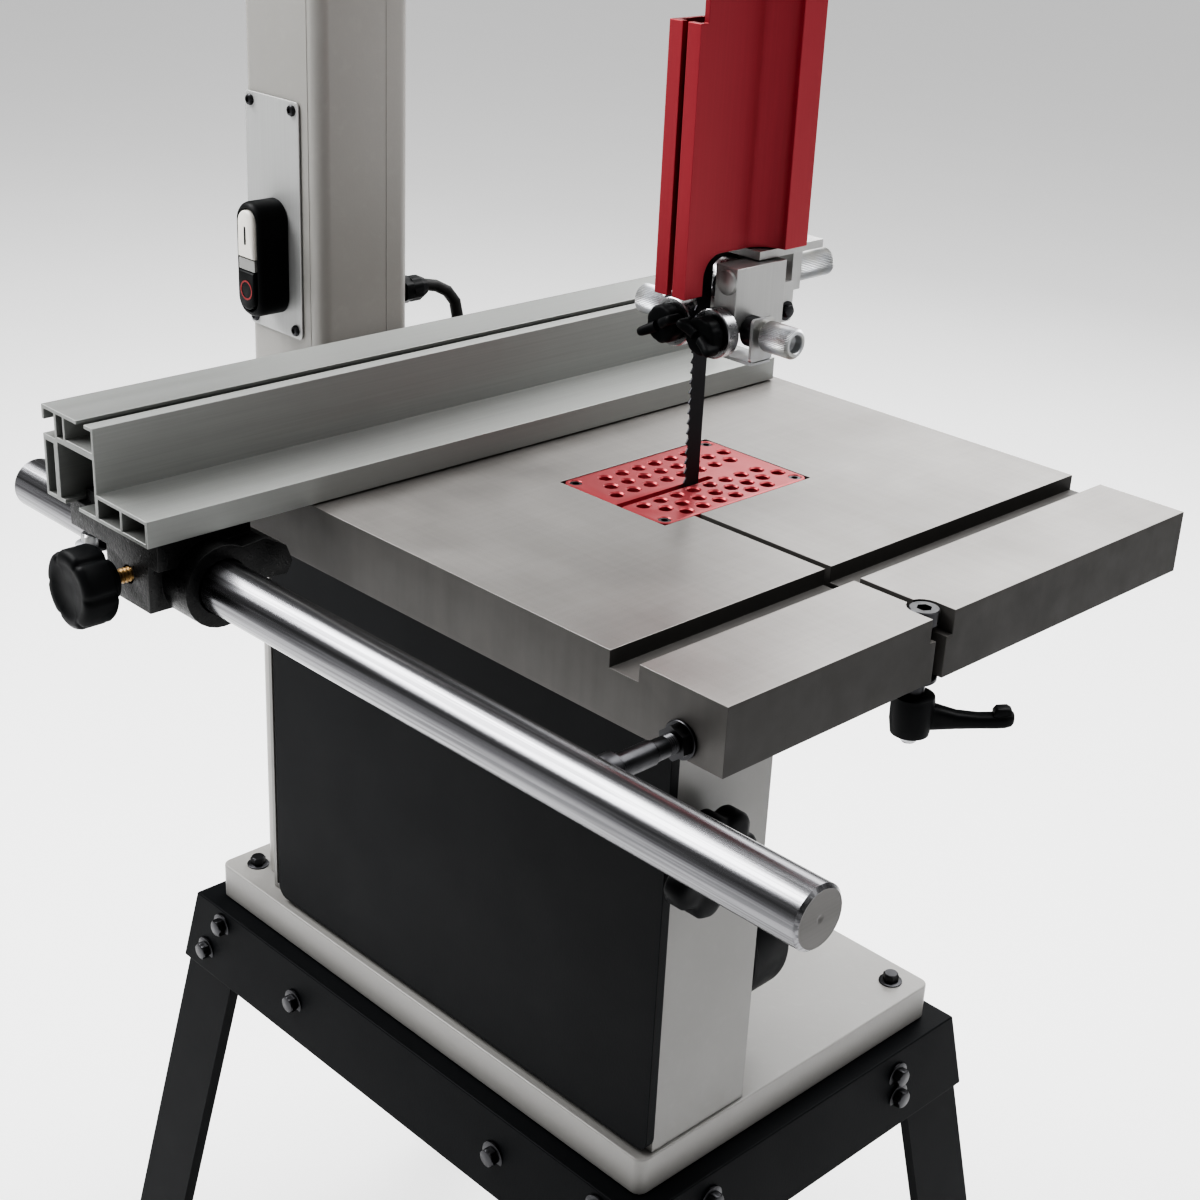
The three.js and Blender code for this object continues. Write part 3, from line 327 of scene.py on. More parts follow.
# ---- making meshes ----

RECORD = frame["record"]
BODY = {node: body for body, members in RECORD["behaviour"]["bodies"].items() for node in members}
SLOT = {part["node"]: part["material_slot"] for part in RECORD["subparts"]}
AXES = {"x": (1, 2, 0), "y": (2, 0, 1), "z": (0, 1, 2)}


def made(name, bm, look, smooth=32.0):
    """An object from a bmesh in frame metres."""
    mesh = bpy.data.meshes.new(name)
    bm.normal_update()
    bm.to_mesh(mesh)
    bm.free()
    mesh.materials.append(look)
    mesh.shade_smooth()
    mesh.set_sharp_from_angle(angle=radians(smooth))
    obj = bpy.data.objects.new(name, mesh)
    bpy.context.scene.collection.objects.link(obj)
    return obj


def worn_by(obj, body, slot, *nodes):
    """obj rides on a body and stands for the nodes named. Its slot is not used."""
    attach(obj, body)
    if nodes:
        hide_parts(*nodes)
    return obj


def sharp_edges(bm, angle, inside):
    limit = radians(angle)
    return [e for e in bm.edges if len(e.link_faces) == 2 and e.calc_face_angle(0.0) > limit
        and (inside or e.is_convex)]


def bevel(bm, width, angle, segments, inside=True):
    """Rounds every edge sharper than the angle, and inside corners too if asked; width in millimetres."""
    bmesh.ops.bevel(bm, geom=sharp_edges(bm, angle, inside), offset=width * MM, offset_type="OFFSET",
        segments=segments, profile=0.5, affect="EDGES", clamp_overlap=True)


def applied(obj):
    """Bakes the object's modifiers into its mesh."""
    bpy.context.view_layer.update()
    solved = obj.evaluated_get(bpy.context.evaluated_depsgraph_get())
    mesh = bpy.data.meshes.new_from_object(solved)
    obj.modifiers.clear()
    old, obj.data = obj.data, mesh
    bpy.data.meshes.remove(old)
    return obj


def flat_panels(obj):
    """Shading in which the large faces stay flat and only the rounded edges turn."""
    modifier = obj.modifiers.new("normals", "WEIGHTED_NORMAL")
    modifier.keep_sharp = True
    return applied(obj)


def welded(node):
    """A copy of a CAD node's mesh without doubled points and needless edges."""
    bm = bmesh.new()
    bm.from_mesh(NODES[node].data)
    bmesh.ops.remove_doubles(bm, verts=bm.verts, dist=1e-6)
    bmesh.ops.dissolve_limit(bm, angle_limit=radians(0.5), verts=bm.verts, edges=bm.edges)
    return bm


def triangulated(bm, sides=4):
    """Splits the faces with more sides than that. Its order differs from run to run, so it is sorted."""
    bmesh.ops.triangulate(bm, faces=[f for f in bm.faces if len(f.verts) > sides])
    for index, face in enumerate(sorted(bm.faces, key=lambda f: tuple(f.calc_center_median()))):
        face.index = index
    bm.faces.sort()


def dressed(node, width=0.0, angle=32.0, look=None, segments=2, inside=True):
    """A copy of a CAD node with welded, rounded edges, which takes the node's place."""
    bm = welded(node)
    if width:
        bevel(bm, width, angle, segments, inside)
    triangulated(bm)
    obj = flat_panels(made(node + "_dressed", bm, look or LOOKS[SLOT[node]], angle))
    return worn_by(obj, BODY[node], SLOT[node], node)


def skin(bm, low, high):
    """Quads between two loops of equal point counts."""
    count = len(low)
    for i in range(count):
        j = (i + 1) % count
        bm.faces.new((low[i], low[j], high[j], high[i]))


def ringed(bm, rings, closed_ends=True):
    """Joins rings of points into a skin, capped at both ends if asked."""
    loops = [[bm.verts.new(point) for point in ring] for ring in rings]
    for low, high in zip(loops, loops[1:]):
        skin(bm, low, high)
    if closed_ends:
        bm.faces.new(list(reversed(loops[0])))
        bm.faces.new(loops[-1])
    return loops


def fixed(bm):
    bmesh.ops.recalc_face_normals(bm, faces=bm.faces)
    return bm


def turned(axis, centre, radius, along, steps, wobble):
    """One ring of points about a line through centre; a wobble makes its radius follow the angle."""
    u, v, w = AXES[axis]
    ring = []
    for i in range(steps):
        angle = 2 * pi * i / steps
        r = wobble(radius, angle) if wobble else radius
        point = [0.0, 0.0, 0.0]
        point[u] = centre[u] + r * cos(angle)
        point[v] = centre[v] + r * sin(angle)
        point[w] = centre[w] + along
        ring.append(at(*point))
    return ring


def lathe(bm, axis, centre, profile, steps, wobble=None):
    """Turns a profile of (radius, distance along the axis) in millimetres and caps both of its ends."""
    ringed(bm, [turned(axis, centre, radius, along, steps, wobble) for radius, along in profile])


def tube_lathe(bm, axis, centre, profile, steps, wobble=None):
    """A turned ring: the profile is a closed loop of (radius, along)."""
    rings = [turned(axis, centre, radius, along, steps, wobble) for radius, along in profile]
    loops = [[bm.verts.new(point) for point in ring] for ring in rings]
    for k, low in enumerate(loops):
        skin(bm, low, loops[(k + 1) % len(loops)])


def prism(bm, axis, points, low, high):
    """Extrudes an outline of 2-D points in millimetres along an axis, from low to high.
    The points' two coordinates are the other two axes in turn: y, z for x; z, x for y; x, y for z."""
    u, v, w = AXES[axis]
    rings = []
    for along in (low, high):
        ring = []
        for a, b in points:
            point = [0.0, 0.0, 0.0]
            point[u], point[v], point[w] = a, b, along
            ring.append(at(*point))
        rings.append(ring)
    ringed(bm, rings)
    return bm


def round_rect(u0, u1, v0, v1, radius, steps):
    points = []
    for cu, cv, start in ((u1 - radius, v1 - radius, 0), (u0 + radius, v1 - radius, 90),
            (u0 + radius, v0 + radius, 180), (u1 - radius, v0 + radius, 270)):
        for i in range(steps + 1):
            angle = radians(start + 90 * i / steps)
            points.append((cu + radius * cos(angle), cv + radius * sin(angle)))
    return points


def cut(obj, *tools):
    """Takes the tools' volume out of the object."""
    for tool in tools:
        modifier = obj.modifiers.new("cut", "BOOLEAN")
        modifier.operation = "DIFFERENCE"
        modifier.solver = "EXACT"
        modifier.object = tool
    applied(obj)
    for tool in tools:
        bpy.data.objects.remove(tool)
    return obj


def cutter(bm):
    """A body that cut() takes away."""
    return made("cutter", fixed(bm), LOOKS["rubber"])


def hexagon(across, turn=0.0, reach=inf):
    """A radius that follows a hexagon of that size across its flats, up to the reach, for lathe()."""

    def shape(radius, angle):
        part = (angle + radians(turn)) % (pi / 3) - pi / 6
        return min(radius, across / 2 / cos(part)) if radius < reach else radius

    return shape


def lobes(count, depth, inner, sharp=2.0):
    """A radius that dips between rounded lobes, for lathe(); nothing dips inside the inner radius."""

    def shape(radius, angle):
        dip = (0.5 - 0.5 * cos(angle * count)) ** sharp
        return radius - depth * dip * max(0.0, min(1.0, (radius - inner) / 6.0))

    return shape


def ribs(count, depth, inner, power=1.0):
    """Straight ribs or knurls on every radius beyond the inner one, for lathe()."""

    def shape(radius, angle):
        cut_in = depth * (0.5 - 0.5 * cos(angle * count)) ** power
        return radius - cut_in if radius > inner else radius

    return shape


def hex_bolt(bm, axis, centre, across, thick, sign=1, washer=0.0, turn=0):
    """A hex head with a chamfered crown, standing off a face at centre along the axis, towards the sign."""
    if washer:
        rim = across * 0.82
        lathe(bm, axis, centre, [(rim, -sign * 0.3), (rim, sign * washer * 0.8),
            (rim - 0.4, sign * washer)], 32)
    corner = across / sqrt(3) + 0.01
    lathe(bm, axis, centre, [(corner, sign * washer * 0.5), (corner, sign * (washer + thick * 0.82)),
        (across / 2 * 0.98, sign * (washer + thick * 0.95)), (across / 2 * 0.9, sign * (washer + thick))],
        72, wobble=hexagon(across, turn))
    return bm

# ---- stand, base and housings ----


def loose(name, bm, body, slot, smooth=32.0, look=None):
    """A piece of its own that stands for no CAD node."""
    return worn_by(made(name, fixed(bm), look or LOOKS[slot], smooth), body, slot)


def stand_in(node, name, bm, smooth=32.0, look=None, slot=None):
    """A piece that takes a CAD node's place, on that node's body."""
    slot = slot or SLOT[node]
    return worn_by(made(name, fixed(bm), look or LOOKS[slot], smooth), BODY[node], slot, node)


def bolts(name, places, axis, across, thick):
    """Hex heads on washers, each turned a little further than the one before."""
    bm = bmesh.new()
    for i, place in enumerate(places):
        hex_bolt(bm, axis, place, across, thick, 1, 1.2, turn=i * 13.0)
    loose(name, bm, "frame", "black_oxide")


def four_round(x, z, radius):
    """Four places (x, z) round a point, at 45 degrees to the axes."""
    angles = [pi / 4 + k * pi / 2 for k in range(4)]
    return [(x + radius * cos(a), z + radius * sin(a)) for a in angles]


def tile(bm, x0, x1, z0, z1, radius, steps, y0, y1):
    """A rounded plate that faces front or back, between two depths."""
    prism(bm, "y", [(z, x) for x, z in round_rect(x0, x1, z0, z1, radius, steps)], y0, y1)


def stand_and_base():
    floor_bolts = []
    for side, reach in (("left", 45), ("right", -45)):
        for end, depth in (("front", 45), ("rear", -45)):
            node = "stand_leg_" + end + "_" + side
            dressed(node, 1.0)
            low, high = extent(node)
            x = (high if side == "right" else low).x + reach
            y = (high if end == "rear" else low).y + depth
            floor_bolts.append((x, y, low.z + 8))
    bolts("floor_bolts", floor_bolts, "z", 13.0, 7.0)
    dressed("stand_apron", 1.2)
    dressed("base_pan", 3.0, segments=4)
    low, high = extent("base_pan")
    inset = 22
    sides, ends = (low.x + inset, high.x - inset), (low.y + inset, high.y - inset)
    corners = [(x, y, high.z) for x in sides for y in ends]
    bolts("base_bolts", corners, "z", 11.0, 6.5)
    apron_fasteners(*extent("stand_apron"))


def apron_fasteners(low, high):
    """Hex bolts that hold the leaning apron to the legs and the base."""
    lean, sink = 0.15, 0.6
    run = lean * (high.z - low.z)
    sides = ((-1, low.x + run), (1, high.x - run))
    ends = ((-1, low.y + run), (1, high.y - run))
    bm = bmesh.new()
    for drop, inset in ((14, 38), (44, 20), (32, 142)):
        for out_x, x in sides:
            for out_y, y in ends:
                place = (x - out_x * inset, y + out_y * (lean * drop - sink), high.z - drop)
                hex_bolt(bm, "y", place, 13.0, 6.0, out_y, 1.2, turn=inset)
    for drop, inset in ((20, 70), (38, 70)):
        for out_y, y in ends:
            for out_x, x in sides:
                place = (x + out_x * (lean * drop - sink), y - out_y * inset, high.z - drop)
                hex_bolt(bm, "x", place, 13.0, 6.0, out_x, 1.2, turn=inset)
    loose("stand_bolts", bm, "frame", "black_oxide")


stand_and_base()


SEAM_SPAN = (-90, 394)


def housings():
    dressed("column", 1.2)
    # Both housings wear the darker paint: painted shade.
    for node in ("lower_housing", "upper_housing"):
        dressed(node, 4.0, look=SHADED_HOUSING_PAINT, segments=4, inside=False)
    column_low, column_high = extent("column")
    seam = bmesh.new()
    ridge = ((-0.9, -0.5), (-0.54, 0.25), (0.54, 0.25), (0.9, -0.5))
    x, y = column_high.x + 0.05, 42.0
    prism(seam, "z", [(x + out, y + along) for along, out in ridge], *SEAM_SPAN)
    x, y = column_high.x - 13.0, column_low.y - 0.05
    prism(seam, "z", [(x + along, y - out) for along, out in ridge], *SEAM_SPAN)
    loose("column_seam", seam, "frame", "grey_paint")
    barrel = [(3.0, -24), (3.8, -23.2), (3.8, -8.2), (3.3, -8.0), (3.3, -7.6), (3.8, -7.4)]
    barrel += [(radius, -along) for radius, along in reversed(barrel)]
    for name in ("lower_door", "upper_door"):
        dressed(name, 2.5, segments=3)
        low, high = extent(name)
        hinges = bmesh.new()
        for z in (low.z + (high.z - low.z) * 0.2, low.z + (high.z - low.z) * 0.8):
            lathe(hinges, "z", (low.x + 3.0, -31.0, z), barrel, 24)
        loose(name + "_hinges", hinges, "frame", "black_oxide")


housings()


def rear_details():
    """Bolts that hold the housings to the column, and the tension gauge's window."""
    rear = extent("upper_housing")[1].y
    places = [(-372, rear, z) for z in (425, 600, 785)] + [(-325, rear, z) for z in (-120, -440)]
    bolts("spine_bolts", places, "y", 13.0, 6.0)
    bezel, lens, marks = bmesh.new(), bmesh.new(), bmesh.new()
    tile(bezel, -215, -125, 726, 752, 5, 5, rear - 0.4, rear + 2.4)
    bevel(fixed(bezel), 0.8, 40, 2)
    tile(lens, -209, -131, 732, 746, 3, 4, rear + 1.5, rear + 2.9)
    for k in range(9):
        x, tall = -202 + 8 * k, 8 if k % 2 else 11
        tile(marks, x - 0.6, x + 0.6, 733.5, 733.5 + tall, 0.3, 2, rear + 2.6, rear + 3.1)
    loose("gauge_bezel", bezel, "frame", "black_plastic")
    loose("gauge_lens", lens, "frame", "white_plastic", look=LENS_GREY)
    loose("gauge_marks", marks, "frame", "black_plastic")


rear_details()


def star_knob(node):
    """A moulded star knob on a right-hand wall, its shank towards the wall."""
    low, high = extent(node)
    _, y, z = middle(node)
    radius = (high.z - low.z) / 2
    bm = bmesh.new()
    lathe(bm, "x", (high.x - 27.5, y, z), [(11, 0), (12.5, 1.2), (12.5, 8), (16, 9.5), (radius - 5, 10.0),
        (radius - 1.5, 11.2), (radius, 13.5), (radius, 23.5), (radius - 1.8, 26.0), (radius - 6, 27.0),
        (14, 27.2), (12.5, 25.6), (4, 25.4)], 120, wobble=lobes(7, radius * 0.15, 14.0))
    stand_in(node, node + "_moulding", bm, 50)


star_knob("lower_door_knob")
star_knob("upper_door_knob")

# ---- table, insert and blade ----


def table_top():
    """The casting is ground on top, milled in its slot and on its sides, and darker on its right side, where
    a darker copy of the milled finish paints shade.
    """
    table = dressed("table", 0.7)
    table.data.materials.append(MILLED_IRON)
    table.data.materials.append(SHADED_MILLED_IRON)
    for face in table.data.polygons:
        if face.normal.z < 0.6 or face.center.z < TABLE_HIGH.z - 2 * MM:
            # Right-facing faces take the darker copy: painted shade.
            face.material_index = 2 if face.normal.x > 0.6 else 1


table_top()

INSERT_AREA = (-49.0, 37.0, -61.5, 64.0)
SLIT_HALF, SLIT_END = 2.4, 14.6


def insert_screws():
    x0, x1, y0, y1 = INSERT_AREA
    return [(x, y) for x in (x0 + 6.2, x1 - 6.2) for y in (y0 + 6.2, y1 - 6.2)]


def insert_holes():
    """Staggered holes in the insert, clear of its screws: (x, y) in millimetres."""
    _, _, y0, y1 = INSERT_AREA
    holes = []
    for x, shift in ((-38, 0), (-26, 7), (-14, 0), (8, 0), (19, 7), (29, 0)):
        y = y0 + 12 + shift
        while y < y1 - 8:
            if all(hypot(x - sx, y - sy) > 10.5 for sx, sy in insert_screws()):
                holes.append((x, y))
            y += 14
    return holes


def insert_plate():
    x0, x1, y0, y1 = INSERT_AREA
    bm = bmesh.new()
    prism(bm, "z", round_rect(x0, x1, y0, y1, 6, 8), -6.0, 0.0)
    bevel(fixed(bm), 0.7, 60, 2)
    plate = made("insert_plate", fixed(bm), INSERT_RED)
    holes = bmesh.new()
    for x, y in insert_holes():
        lathe(holes, "z", (x, y, 0), [(4.0, -8), (4.0, -0.9), (5.1, 0.2), (5.1, 1)], 36)
    for x, y in insert_screws():
        lathe(holes, "z", (x, y, 0), [(2.2, -8), (2.2, -2.2), (4.4, 0.1), (4.4, 1)], 28)
    end = [pi * k / 10 for k in range(11)]
    outline = [(-SLIT_HALF, y0 - 5), (SLIT_HALF, y0 - 5)]
    outline += [(SLIT_HALF * cos(a), SLIT_END + SLIT_HALF * sin(a)) for a in end]
    slit, undercut = bmesh.new(), bmesh.new()
    prism(slit, "z", outline, -7, 1)
    prism(undercut, "y", [(-1.2, 0), (-7, 0), (-7, 8.2), (-1.2, SLIT_HALF)], -12, 9)
    cut(plate, cutter(holes), cutter(slit), cutter(undercut))
    plate.data.shade_smooth()
    plate.data.set_sharp_from_angle(angle=radians(30))
    worn_by(plate, "tilting_table", "red_anodised", "table_insert")
    screws = bmesh.new()
    for x, y in insert_screws():
        lathe(screws, "z", (x, y, 0), [(2.0, -6.5), (2.0, -2.6), (3.9, -0.65), (3.8, -0.5), (2.0, -0.5),
            (1.9, -1.8), (0.5, -2.0)], 28)
    loose("insert_screws", screws, "tilting_table", "black_oxide")


insert_plate()


def blade():
    """The endless band with its teeth cut in the front edge."""
    wheel_x, _, low_z = middle("lower_wheel")
    high_z = middle("upper_wheel").z
    radius, run = -wheel_x, high_z - low_z
    arc = pi * radius
    pitch, back, root, tip, half = 6.2, 4.7, -6.2, -8.0, 0.45
    count = round(2 * (run + arc) / pitch)
    step = 2 * (run + arc) / count
    # Down the cutting side, round the lower wheel, up the back and over the upper wheel.
    stretches = ((run, high_z, low_z, 0.0, 0.0), (arc, low_z, low_z, 0.0, -pi),
        (run, low_z, high_z, -pi, -pi), (arc, high_z, high_z, -pi, -2 * pi))

    def place(s):
        """The height of the arc's centre, and the outward angle, at distance s round the loop."""
        for length, z0, z1, angle0, angle1 in stretches:
            if s < length:
                part = s / length
                return z0 + (z1 - z0) * part, angle0 + (angle1 - angle0) * part
            s -= length

    bm = bmesh.new()
    rings = []
    for i in range(count):
        for along, front in ((0.0, root), (0.3, root + 0.1), (0.78, tip), (0.86, tip)):
            centre_z, angle = place((i + along) * step)
            ring = []
            for side, y in ((-half, front), (half, front), (half, back), (-half, back)):
                reach = radius + side
                point = at(wheel_x + reach * cos(angle), y, centre_z + reach * sin(angle))
                ring.append(bm.verts.new(point))
            rings.append(ring)
    for k, low in enumerate(rings):
        skin(bm, low, rings[(k + 1) % len(rings)])
    stand_in("blade", "band", bm, 25)


blade()


PIN_X, PIN_Y = 200.0, -35.0


def levelling_pin():
    """A socket-headed screw in the end of the slit, with a washer under the table."""
    head, washer = bmesh.new(), bmesh.new()
    tube_lathe(head, "z", (PIN_X, PIN_Y, 0), [(3.6, -5.5), (7.6, -9.2), (8.5, -8.6), (8.5, -1.2),
        (7.8, -0.5), (4.6, -0.5), (4.1, -1.0)], 48, wobble=hexagon(7.4, reach=5.0))
    lathe(head, "z", (PIN_X, PIN_Y, 0), [(5.5, -73), (5.5, -5.8), (3.4, -5.6)], 32)
    stand_in("levelling_pin", "levelling_pin_head", head, slot="black_oxide")
    tube_lathe(washer, "z", (PIN_X, PIN_Y, 0), [(5.8, -41.5), (5.8, -38.6), (10.5, -38.6), (11, -39.2),
        (11, -40.9), (10.5, -41.5)], 40)
    loose("pin_washer", washer, "tilting_table", "black_oxide")


def pin_lever():
    """A hub with a drooping arm and an upturned tip: (reach, half width, low, high) along the arm."""
    bm = bmesh.new()
    lathe(bm, "z", (0, 0, 0), [(8.8, -74.5), (10.4, -73.6), (11.6, -66), (11.8, -54), (11.4, -51),
        (9.6, -50)], 48)
    arm = ((5, 6.2, -71, -55), (13, 5.6, -70.5, -57), (24, 4.9, -69.5, -60), (36, 4.6, -68.5, -61),
        (46, 4.9, -67.8, -60.4), (50, 5.2, -67.2, -59.4), (53, 4.6, -66.4, -58.8),
        (54.4, 3.0, -65.0, -59.6))
    tip = ((43.5, 3.6, -62, -58.0), (45, 3.9, -62, -56.2), (50.5, 3.9, -62, -55.6), (52.6, 3.2, -62, -56.6))
    for stations, corner in ((arm, None), (tip, 1.6)):
        rings = []
        for reach, half, low, high in stations:
            radius = corner or min(half, (high - low) / 2) * 0.7
            rings.append([at(reach, u, v) for u, v in round_rect(-half, half, low, high, radius, 4)])
        ringed(bm, rings)
    turn = Matrix.Rotation(pi / 4, 4, "Z")
    bm.transform(Matrix.Translation(at(PIN_X, PIN_Y, 0)) @ turn @ Matrix.Translation(-ZERO))
    stand_in("pin_lever", "lever_arm", bm, 40)
    end = bmesh.new()
    lathe(end, "z", (PIN_X, PIN_Y, 0), [(4.6, -74), (4.6, -78), (3.8, -79)], 32)
    loose("pin_screw_end", end, "tilting_table", "polished_steel", look=BRIGHT_STEEL)


levelling_pin()
pin_lever()

# ---- rail, fence and its carrier ----


def rail():
    """A round bar with turning marks on its right end, on two studs that screw into the table."""
    y, z, x0, x1, radius = -268.0, -27.7, -298.0, 329.0, 15.4
    bm = bmesh.new()
    marks = [(radius - 2.0 - 0.9 * k, x1 - (0.12 if k % 2 else 0.0)) for k in range(1, 14)]
    lathe(bm, "x", (0, y, z), [(radius - 1.6, x0), (radius, x0 + 1.6), (radius, x1 - 1.7),
        (radius - 1.7, x1), *marks, (0.6, x1 - 0.5)], 128)
    bar = stand_in("fence_rail", "rail_bar", bm, 30)
    # The end faces take the darker steel: their turned finish, with painted shade.
    bar.data.materials.append(SHADED_TURNED_STEEL)
    for polygon in bar.data.polygons:
        if abs(polygon.normal.x) > 0.9:
            polygon.material_index = 1
    thread = [(5.4 - (0.45 if k % 2 else 0.0), 40.1 + k * 0.62) for k in range(20)]
    for node, x in (("rail_stud_right", 186.0), ("rail_stud_left", -262.0)):
        stud, bar_back = bmesh.new(), (x, y + radius, z)
        lathe(stud, "y", bar_back, [(5.2, -1.0), (6.4, 0.4), (6.4, 30.6), (5.6, 31.6), (5.4, 39.6),
            *thread], 40)
        hex_bolt(stud, "y", (x, -207.5, z), 16.0, 6.8, turn=8)
        lathe(stud, "y", bar_back, [(9.8, 50.4), (10.2, 50.8), (10.2, 52.0), (9.8, 52.4)], 40)
        lathe(stud, "y", bar_back, [(7.6, -1.2), (8.8, 1.0), (8.8, 6.5), (7.2, 8.0)], 40)
        stand_in(node, node + "_bar", stud, 35)


rail()


def fence():
    dressed("fence_bar", 0.35)
    bm = welded("fence_carrier")
    bevel(bm, 3.2, 32, 4)
    triangulated(bm, 3)
    obj = made("carrier_casting", bm, LOOKS["black_casting"], 50)
    worn_by(obj, "fence", SLOT["fence_carrier"], "fence_carrier")

    x, y, z = -141.0, -338.0, -27.0
    knob = bmesh.new()
    lathe(knob, "y", (x, y, z), [(4, 1.4), (13.5, 1.2), (15.5, 0.2), (19.2, 0.0), (21.6, 1.4), (22.4, 3.6),
        (22.4, 17.0), (21.2, 19.4), (17.0, 20.6), (11.5, 21.0), (11.0, 27.0), (8.0, 28.0)], 144,
        wobble=lobes(6, 1.8, 14.0, sharp=14.0))
    stand_in("fence_knob", "fence_knob_moulding", knob, 50)
    screw = bmesh.new()
    thread = [(4.4 - (1.1 if k % 2 else 0.0), 27.0 + k * 1.1) for k in range(31)]
    lathe(screw, "y", (x, y, z), thread, 32)
    loose("fence_knob_screw", screw, "fence_lock", "zinc_plate", 60, look=YELLOW_ZINC)
    nuts = bmesh.new()
    hex_bolt(nuts, "z", (-190, -292, -27.5), 13.0, 6.5, 1, 1.2, turn=12)
    lathe(nuts, "z", (-190, -292, 0), [(4.0, -34.0), (4.0, -1.0), (3.2, -0.2)], 24)
    loose("carrier_nut", nuts, "fence", "zinc_plate")


fence()

# ---- guide post and its guides ----


def knurled_knob(bm, axis, centre, radius, start, end, sign=1):
    """A knurled thumb screw head with a chamfered rim and a bored face."""
    bore = radius * 0.58
    body = [(radius - 2.4, start), (radius - 1.6, start), (radius - 0.9, start + 0.8),
        (radius, start + 1.6), (radius, (start + end) / 2), (radius, end - 1.6), (radius - 1.0, end - 0.5),
        (radius - 1.8, end), (bore + 0.5, end), (bore, end - 0.5), (bore, end - 5.0),
        (bore - 2.0, end - 6.0)]
    lathe(bm, axis, centre, [(r, sign * along) for r, along in body], 216,
        wobble=ribs(54, 0.5, radius - 1.5))
    return bm


def guide_post():
    dressed("guide_post", 0.45)
    dressed("guide_bracket", 0.6, look=BLOCK_STEEL)
    dressed("guide_block", 0.6, look=BLOCK_STEEL)
    z = 126.5
    pins = bmesh.new()
    lathe(pins, "y", (17.5, 0, z), [(7.3, -0.6), (7.3, -1.7), (6.7, -2.5), (5.0, -3.0), (2.6, -3.4),
        (0.6, -3.5)], 48)
    loose("guide_pin", pins, "guide", "polished_steel", look=BLOCK_STEEL)
    bent = bmesh.new()
    prism(bent, "x", round_rect(41.4, 51.5, 97.0, 121.0, 2.5, 4), 20.0, 22.4)
    loose("guide_tab", bent, "guide", "satin_aluminium", look=BLOCK_STEEL)
    caps = bmesh.new()
    hex_bolt(caps, "x", (22.4, 46.5, 103.5), 7.0, 2.6, 1, 0.6, turn=5)
    for x in (-11, 11):
        hex_bolt(caps, "z", (x, 50, 141.2), 8.0, 3.6, 1, 0.9, turn=17)
    loose("bracket_screws", caps, "guide", "black_oxide")


guide_post()


ROLLER_X, ROLLER_Z = 15.3, 97.4
SIDE_SCREW = (0, 12.0, 98.3)


def side_roller(side, x):
    section = [(12.0, -9.3), (12.2, -9.9), (13.8, -9.9), (14.4, -9.3), (14.4, -2.0), (13.8, -1.4),
        (12.2, -1.4), (12.0, -2.0)]
    section = [(5.2, -9.6), (7.2, -9.6), (7.4, -9.3), *section, (7.4, -2.0), (7.2, -1.6), (5.2, -1.6)]
    roller, axle = bmesh.new(), bmesh.new()
    tube_lathe(roller, "y", (x, 0, ROLLER_Z), section, 64)
    stand_in("side_bearing_" + side, "side_roller_" + side, roller, 30, look=BRIGHT_STEEL)
    lathe(axle, "y", (x, 0, ROLLER_Z), [(5.0, -11.0), (5.0, 1.0)], 32)
    loose("side_axle_" + side, axle, "guide", "black_oxide")


def wing_knob(side, sign):
    """A round knob with two flat wings, clocked a little round."""
    node, x = "wing_knob_" + side, sign * ROLLER_X
    bm = bmesh.new()
    lathe(bm, "y", (x, 0, ROLLER_Z), [(9.8, -10.4), (10.9, -11.0), (11.3, -12.0), (11.3, -18.2),
        (10.8, -19.3), (9.8, -19.9), (8.4, -20.1), (3.0, -20.3)], 64, wobble=lobes(10, 0.5, 6.0))
    wing = ((2, 5.0, 3.2, -18.4), (7, 5.6, 3.1, -18.9), (10, 6.2, 2.9, -19.6), (12.4, 6.2, 2.7, -20.2),
        (14.0, 5.2, 2.3, -20.6), (14.7, 3.2, 1.4, -20.8))
    turn = Matrix.Rotation(sign * 0.5, 3, "Y")
    for flip in (1, -1):
        rings = []
        for reach, half, thick, y in wing:
            section = round_rect(-half, half, -thick, thick, thick * 0.9, 4)
            ring = [turn @ Vector((flip * reach, y + u, v)) for u, v in section]
            rings.append([at(*(point + Vector((x, 0, ROLLER_Z)))) for point in ring])
        ringed(bm, rings)
    stand_in(node, node + "_moulding", bm, 50)


def side_screw(side, sign):
    """A knurled thumb screw, its lock collar and the bent clip that it bears on."""
    node = "side_knob_" + side
    knob, collar, clip = bmesh.new(), bmesh.new(), bmesh.new()
    knurled_knob(knob, "x", SIDE_SCREW, 9.0, 38.5, 60.5, sign)
    lathe(knob, "x", SIDE_SCREW, [(3.8, sign * 20), (3.8, sign * 39)], 32)
    stand_in(node, node + "_turned", knob, 40)
    section = ((4.2, 25.2), (8.4, 25.2), (9.0, 26.0), (9.0, 32.5), (8.0, 33.6), (4.2, 33.6))
    tube_lathe(collar, "x", SIDE_SCREW, [(radius, sign * along) for radius, along in section], 48)
    loose("side_collar_" + side, collar, "guide", "black_oxide")
    prism(clip, "x", round_rect(2.5, 20.5, 82.5, 108.0, 2.5, 4), *sorted((sign * 34.0, sign * 36.0)))
    prism(clip, "z", round_rect(*sorted((sign * 14.0, sign * 36.0)), 3.0, 20.0, 1.0, 3), 81.0, 83.0)
    loose("side_clip_" + side, clip, "guide", "zinc_plate")


for guide_side, guide_sign in (("right", 1), ("left", -1)):
    side_roller(guide_side, guide_sign * ROLLER_X)
    wing_knob(guide_side, guide_sign)
    side_screw(guide_side, guide_sign)


